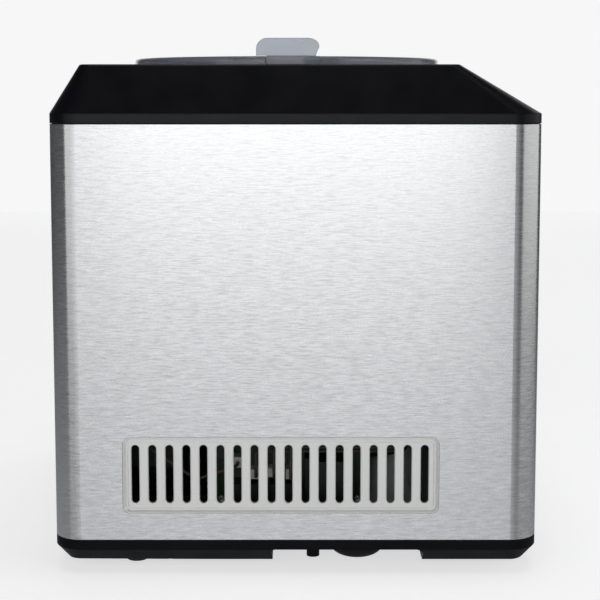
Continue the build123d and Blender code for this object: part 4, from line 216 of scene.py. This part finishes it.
zinc = sheet_metal("zinc_sheet", (0.62, 0.64, 0.66), 0.42, depth=0.03)
enamel = moulded("black_enamel", (0.008, 0.008, 0.009), 0.30, grain=0.03)
nylon = moulded("nylon", (0.80, 0.78, 0.70), 0.45, grain=0.05)
ground_steel = sheet_metal("ground_steel", (0.66, 0.66, 0.67), 0.26, brush=(60.0, 60.0, 2400.0))
bronze = sheet_metal("bronze", (0.66, 0.45, 0.22), 0.36, depth=0.05)
ferrite = moulded("ferrite", (0.05, 0.05, 0.052), 0.60, grain=0.15)
board = moulded("board", (0.016, 0.045, 0.022), 0.40, grain=0.05)
component = moulded("component", (0.012, 0.012, 0.013), 0.45, grain=0.06)
plug_plastic = moulded("plug_plastic", (0.80, 0.80, 0.76), 0.45, grain=0.04)
wire = moulded("wire", (0.075, 0.060, 0.050), 0.50, grain=0.05, edge=0.0)
fins = sheet_metal("fin_metal", (0.80, 0.81, 0.82), 0.34, depth=0.02)
screw_metal = sheet_metal("screw_metal", (0.70, 0.70, 0.71), 0.28, depth=0.03)
fan_plastic = moulded("fan_plastic", (0.035, 0.035, 0.038), 0.48, grain=0.06)

LOOKS = {
    "base_pan": black_base,
    "side_feet": rubber,
    "small_feet": rubber,
    "steel_shell": steel,
    "left_vent_grille": grille_metal,
    "right_vent_grille": grille_metal,
    "top_cover": black_cover,
    "control_fascia": fascia,
    "display_window": window,
    "display_module": component,
    "control_board": board,
    "power_button": button,
    "start_button": button,
    "minus_button": button,
    "plus_button": button,
    "mode_button": button,
    "lid": lid_plastic,
    "lid_flap": flap_plastic,
    "flap_pin": ground_steel,
    "bowl": bowl_metal,
    "paddle": paddle_plastic,
    "well": well_metal,
    "well_gasket": rubber,
    "evaporator_coil": copper,
    "insulation": foam,
    "chassis_plate": zinc,
    "corner_posts": zinc,
    "support_plate": zinc,
    "gearbox_housing": component,
    "gearbox_cover": component,
    "output_gear": nylon,
    "idler_gear": nylon,
    "idler_pin": ground_steel,
    "drive_shaft": ground_steel,
    "shaft_bush": bronze,
    "shaft_seal": rubber,
    "motor_can": zinc,
    "motor_end_cap": component,
    "motor_magnets": ferrite,
    "motor_rotor": ground_steel,
    "motor_pinion": bronze,
    "compressor": enamel,
    "relay_cover": component,
    "compressor_grommets": rubber,
    "compressor_bolts": screw_metal,
    "condenser_fins": fins,
    "condenser_tube": copper,
    "fan_shroud": fan_plastic,
    "fan_motor": component,
    "fan_blade": fan_plastic,
    "refrigerant_lines": copper,
    "power_board": board,
    "board_bracket": component,
    "board_components": component,
    "board_plugs": plug_plastic,
    "wiring": wire,
    "power_inlet": component,
    "case_screws": screw_metal,
    "gearbox_screws": screw_metal,
    "small_screws": screw_metal,
}

for name, node in NODES.items():
    node.data.materials.clear()
    node.data.materials.append(LOOKS[name].material)

# ------------------------------------------------------------------ floor

FLOOR_RADIUS = 2.4
FLOOR_STEPS = 96
FLOOR_GLOW = 0.64
WHITE = (1.0, 1.0, 1.0, 1.0)

floor_look = moulded("floor_look", (0.66, 0.66, 0.66), 0.8, edge=0.0, spread=0.01, gloss=0.1)
floor_look.set("Emission Color", WHITE)
floor_look.set("Emission Strength", FLOOR_GLOW)

turns = [2.0 * math.pi * step / FLOOR_STEPS for step in range(FLOOR_STEPS)]
rim = [(FLOOR_RADIUS * math.cos(turn), FLOOR_RADIUS * math.sin(turn), 0.0) for turn in turns]
floor_mesh = bpy.data.meshes.new("floor")
floor_mesh.from_pydata(rim, [], [tuple(range(FLOOR_STEPS))])
floor_mesh.materials.append(floor_look.material)
floor = bpy.data.objects.new("floor", floor_mesh)
bpy.context.scene.collection.objects.link(floor)
# the steel reflects the fill light there, and not the floor
floor.visible_glossy = False

# ------------------------------------------------------------------ backdrop and fill light

BACKDROP_STRENGTH = 0.93
FILL_COLOUR = (0.94, 0.96, 1.0, 1.0)
# each band: where it starts and is full, as a direction's part along an axis, and its strengths
SIDE_FILL = (0.88, 0.98, 0.0, 0.58)
LOW_FILL = (-0.12, -0.42, 0.075, 0.46)

world = bpy.data.worlds.new("studio")
bpy.context.scene.world = world
world.use_nodes = True
tree = world.node_tree
tree.nodes.clear()


def world_background(colour):
    node = tree.nodes.new("ShaderNodeBackground")
    node.inputs["Color"].default_value = colour
    return node


def world_band(value, band):
    node = tree.nodes.new("ShaderNodeMapRange")
    for socket, number in zip(("From Min", "From Max", "To Min", "To Max"), band):
        node.inputs[socket].default_value = number
    tree.links.new(value, node.inputs["Value"])
    return node.outputs["Result"]


def world_math(operation, *values):
    node = tree.nodes.new("ShaderNodeMath")
    node.operation = operation
    for socket, value in zip(node.inputs, values):
        tree.links.new(value, socket)
    return node.outputs["Value"]


# the backdrop is seen as white, and the fill lights the object, more strongly
# along X and from below, as large reflectors would
seen = world_background(WHITE)
seen.inputs["Strength"].default_value = BACKDROP_STRENGTH
fill = world_background(FILL_COLOUR)
sky = tree.nodes.new("ShaderNodeTexCoord")
axes = tree.nodes.new("ShaderNodeSeparateXYZ")
tree.links.new(sky.outputs["Generated"], axes.inputs["Vector"])
sides = world_band(world_math("ABSOLUTE", axes.outputs["X"]), SIDE_FILL)
below = world_band(axes.outputs["Z"], LOW_FILL)
tree.links.new(world_math("ADD", sides, below), fill.inputs["Strength"])
path = tree.nodes.new("ShaderNodeLightPath")
mix = tree.nodes.new("ShaderNodeMixShader")
output = tree.nodes.new("ShaderNodeOutputWorld")
tree.links.new(path.outputs["Is Camera Ray"], mix.inputs["Fac"])
tree.links.new(fill.outputs["Background"], mix.inputs[1])
tree.links.new(seen.outputs["Background"], mix.inputs[2])
tree.links.new(mix.outputs["Shader"], output.inputs["Surface"])

bpy.context.scene.view_settings.view_transform = "Standard"

# ------------------------------------------------------------------ lights

LIGHT_AIM = Vector((0.0, 0.0, 0.15))


def softbox(name, azimuth, distance, height, width, tall, radiance):
    """A rectangular light at an angle round the object: 0 is the near side, 90 the front."""
    turn = math.radians(azimuth)
    place = Vector((-math.cos(turn) * distance, -math.sin(turn) * distance, height))
    light = bpy.data.lights.new(name, "AREA")
    light.shape = "RECTANGLE"
    light.size = width
    light.size_y = tall
    light.energy = radiance * math.pi * width * tall
    lamp = bpy.data.objects.new(name, light)
    bpy.context.scene.collection.objects.link(lamp)
    lamp.location = place
    lamp.rotation_mode = "QUATERNION"
    lamp.rotation_quaternion = (LIGHT_AIM - place).to_track_quat("-Z", "Y")


# azimuth in degrees, distance, height, width and tall in metres, then radiance
softbox("near_box", 0.0, 1.8, 0.62, 0.78, 1.10, 1.45)
softbox("rear_near_box", -32.0, 1.8, 0.60, 1.3, 1.4, 0.90)
softbox("front_box", 80.0, 1.8, 0.60, 3.1, 1.4, 0.76)
softbox("far_box", 180.0, 2.6, 1.10, 3.4, 2.0, 0.55)
softbox("top_box", 90.0, 0.05, 2.3, 1.2, 1.2, 1.8)

# ------------------------------------------------------------------ camera

SENSOR = 36.0
FOCAL = 84.09
EYE = (-0.9375, -0.0026, 0.2840)
TILT = 5.9
SHIFT_Y = -0.11
CLIP_START = 0.01
CLIP_END = 100.0

camera_data = bpy.data.cameras.new("camera")
camera_data.sensor_width = SENSOR
camera_data.lens = FOCAL
camera_data.shift_y = SHIFT_Y
camera_data.clip_start = CLIP_START
camera_data.clip_end = CLIP_END
camera = bpy.data.objects.new("camera", camera_data)
bpy.context.scene.collection.objects.link(camera)
camera.location = EYE
camera.rotation_euler = (math.radians(90.0 - TILT), 0.0, math.radians(-90.0))
bpy.context.scene.camera = camera
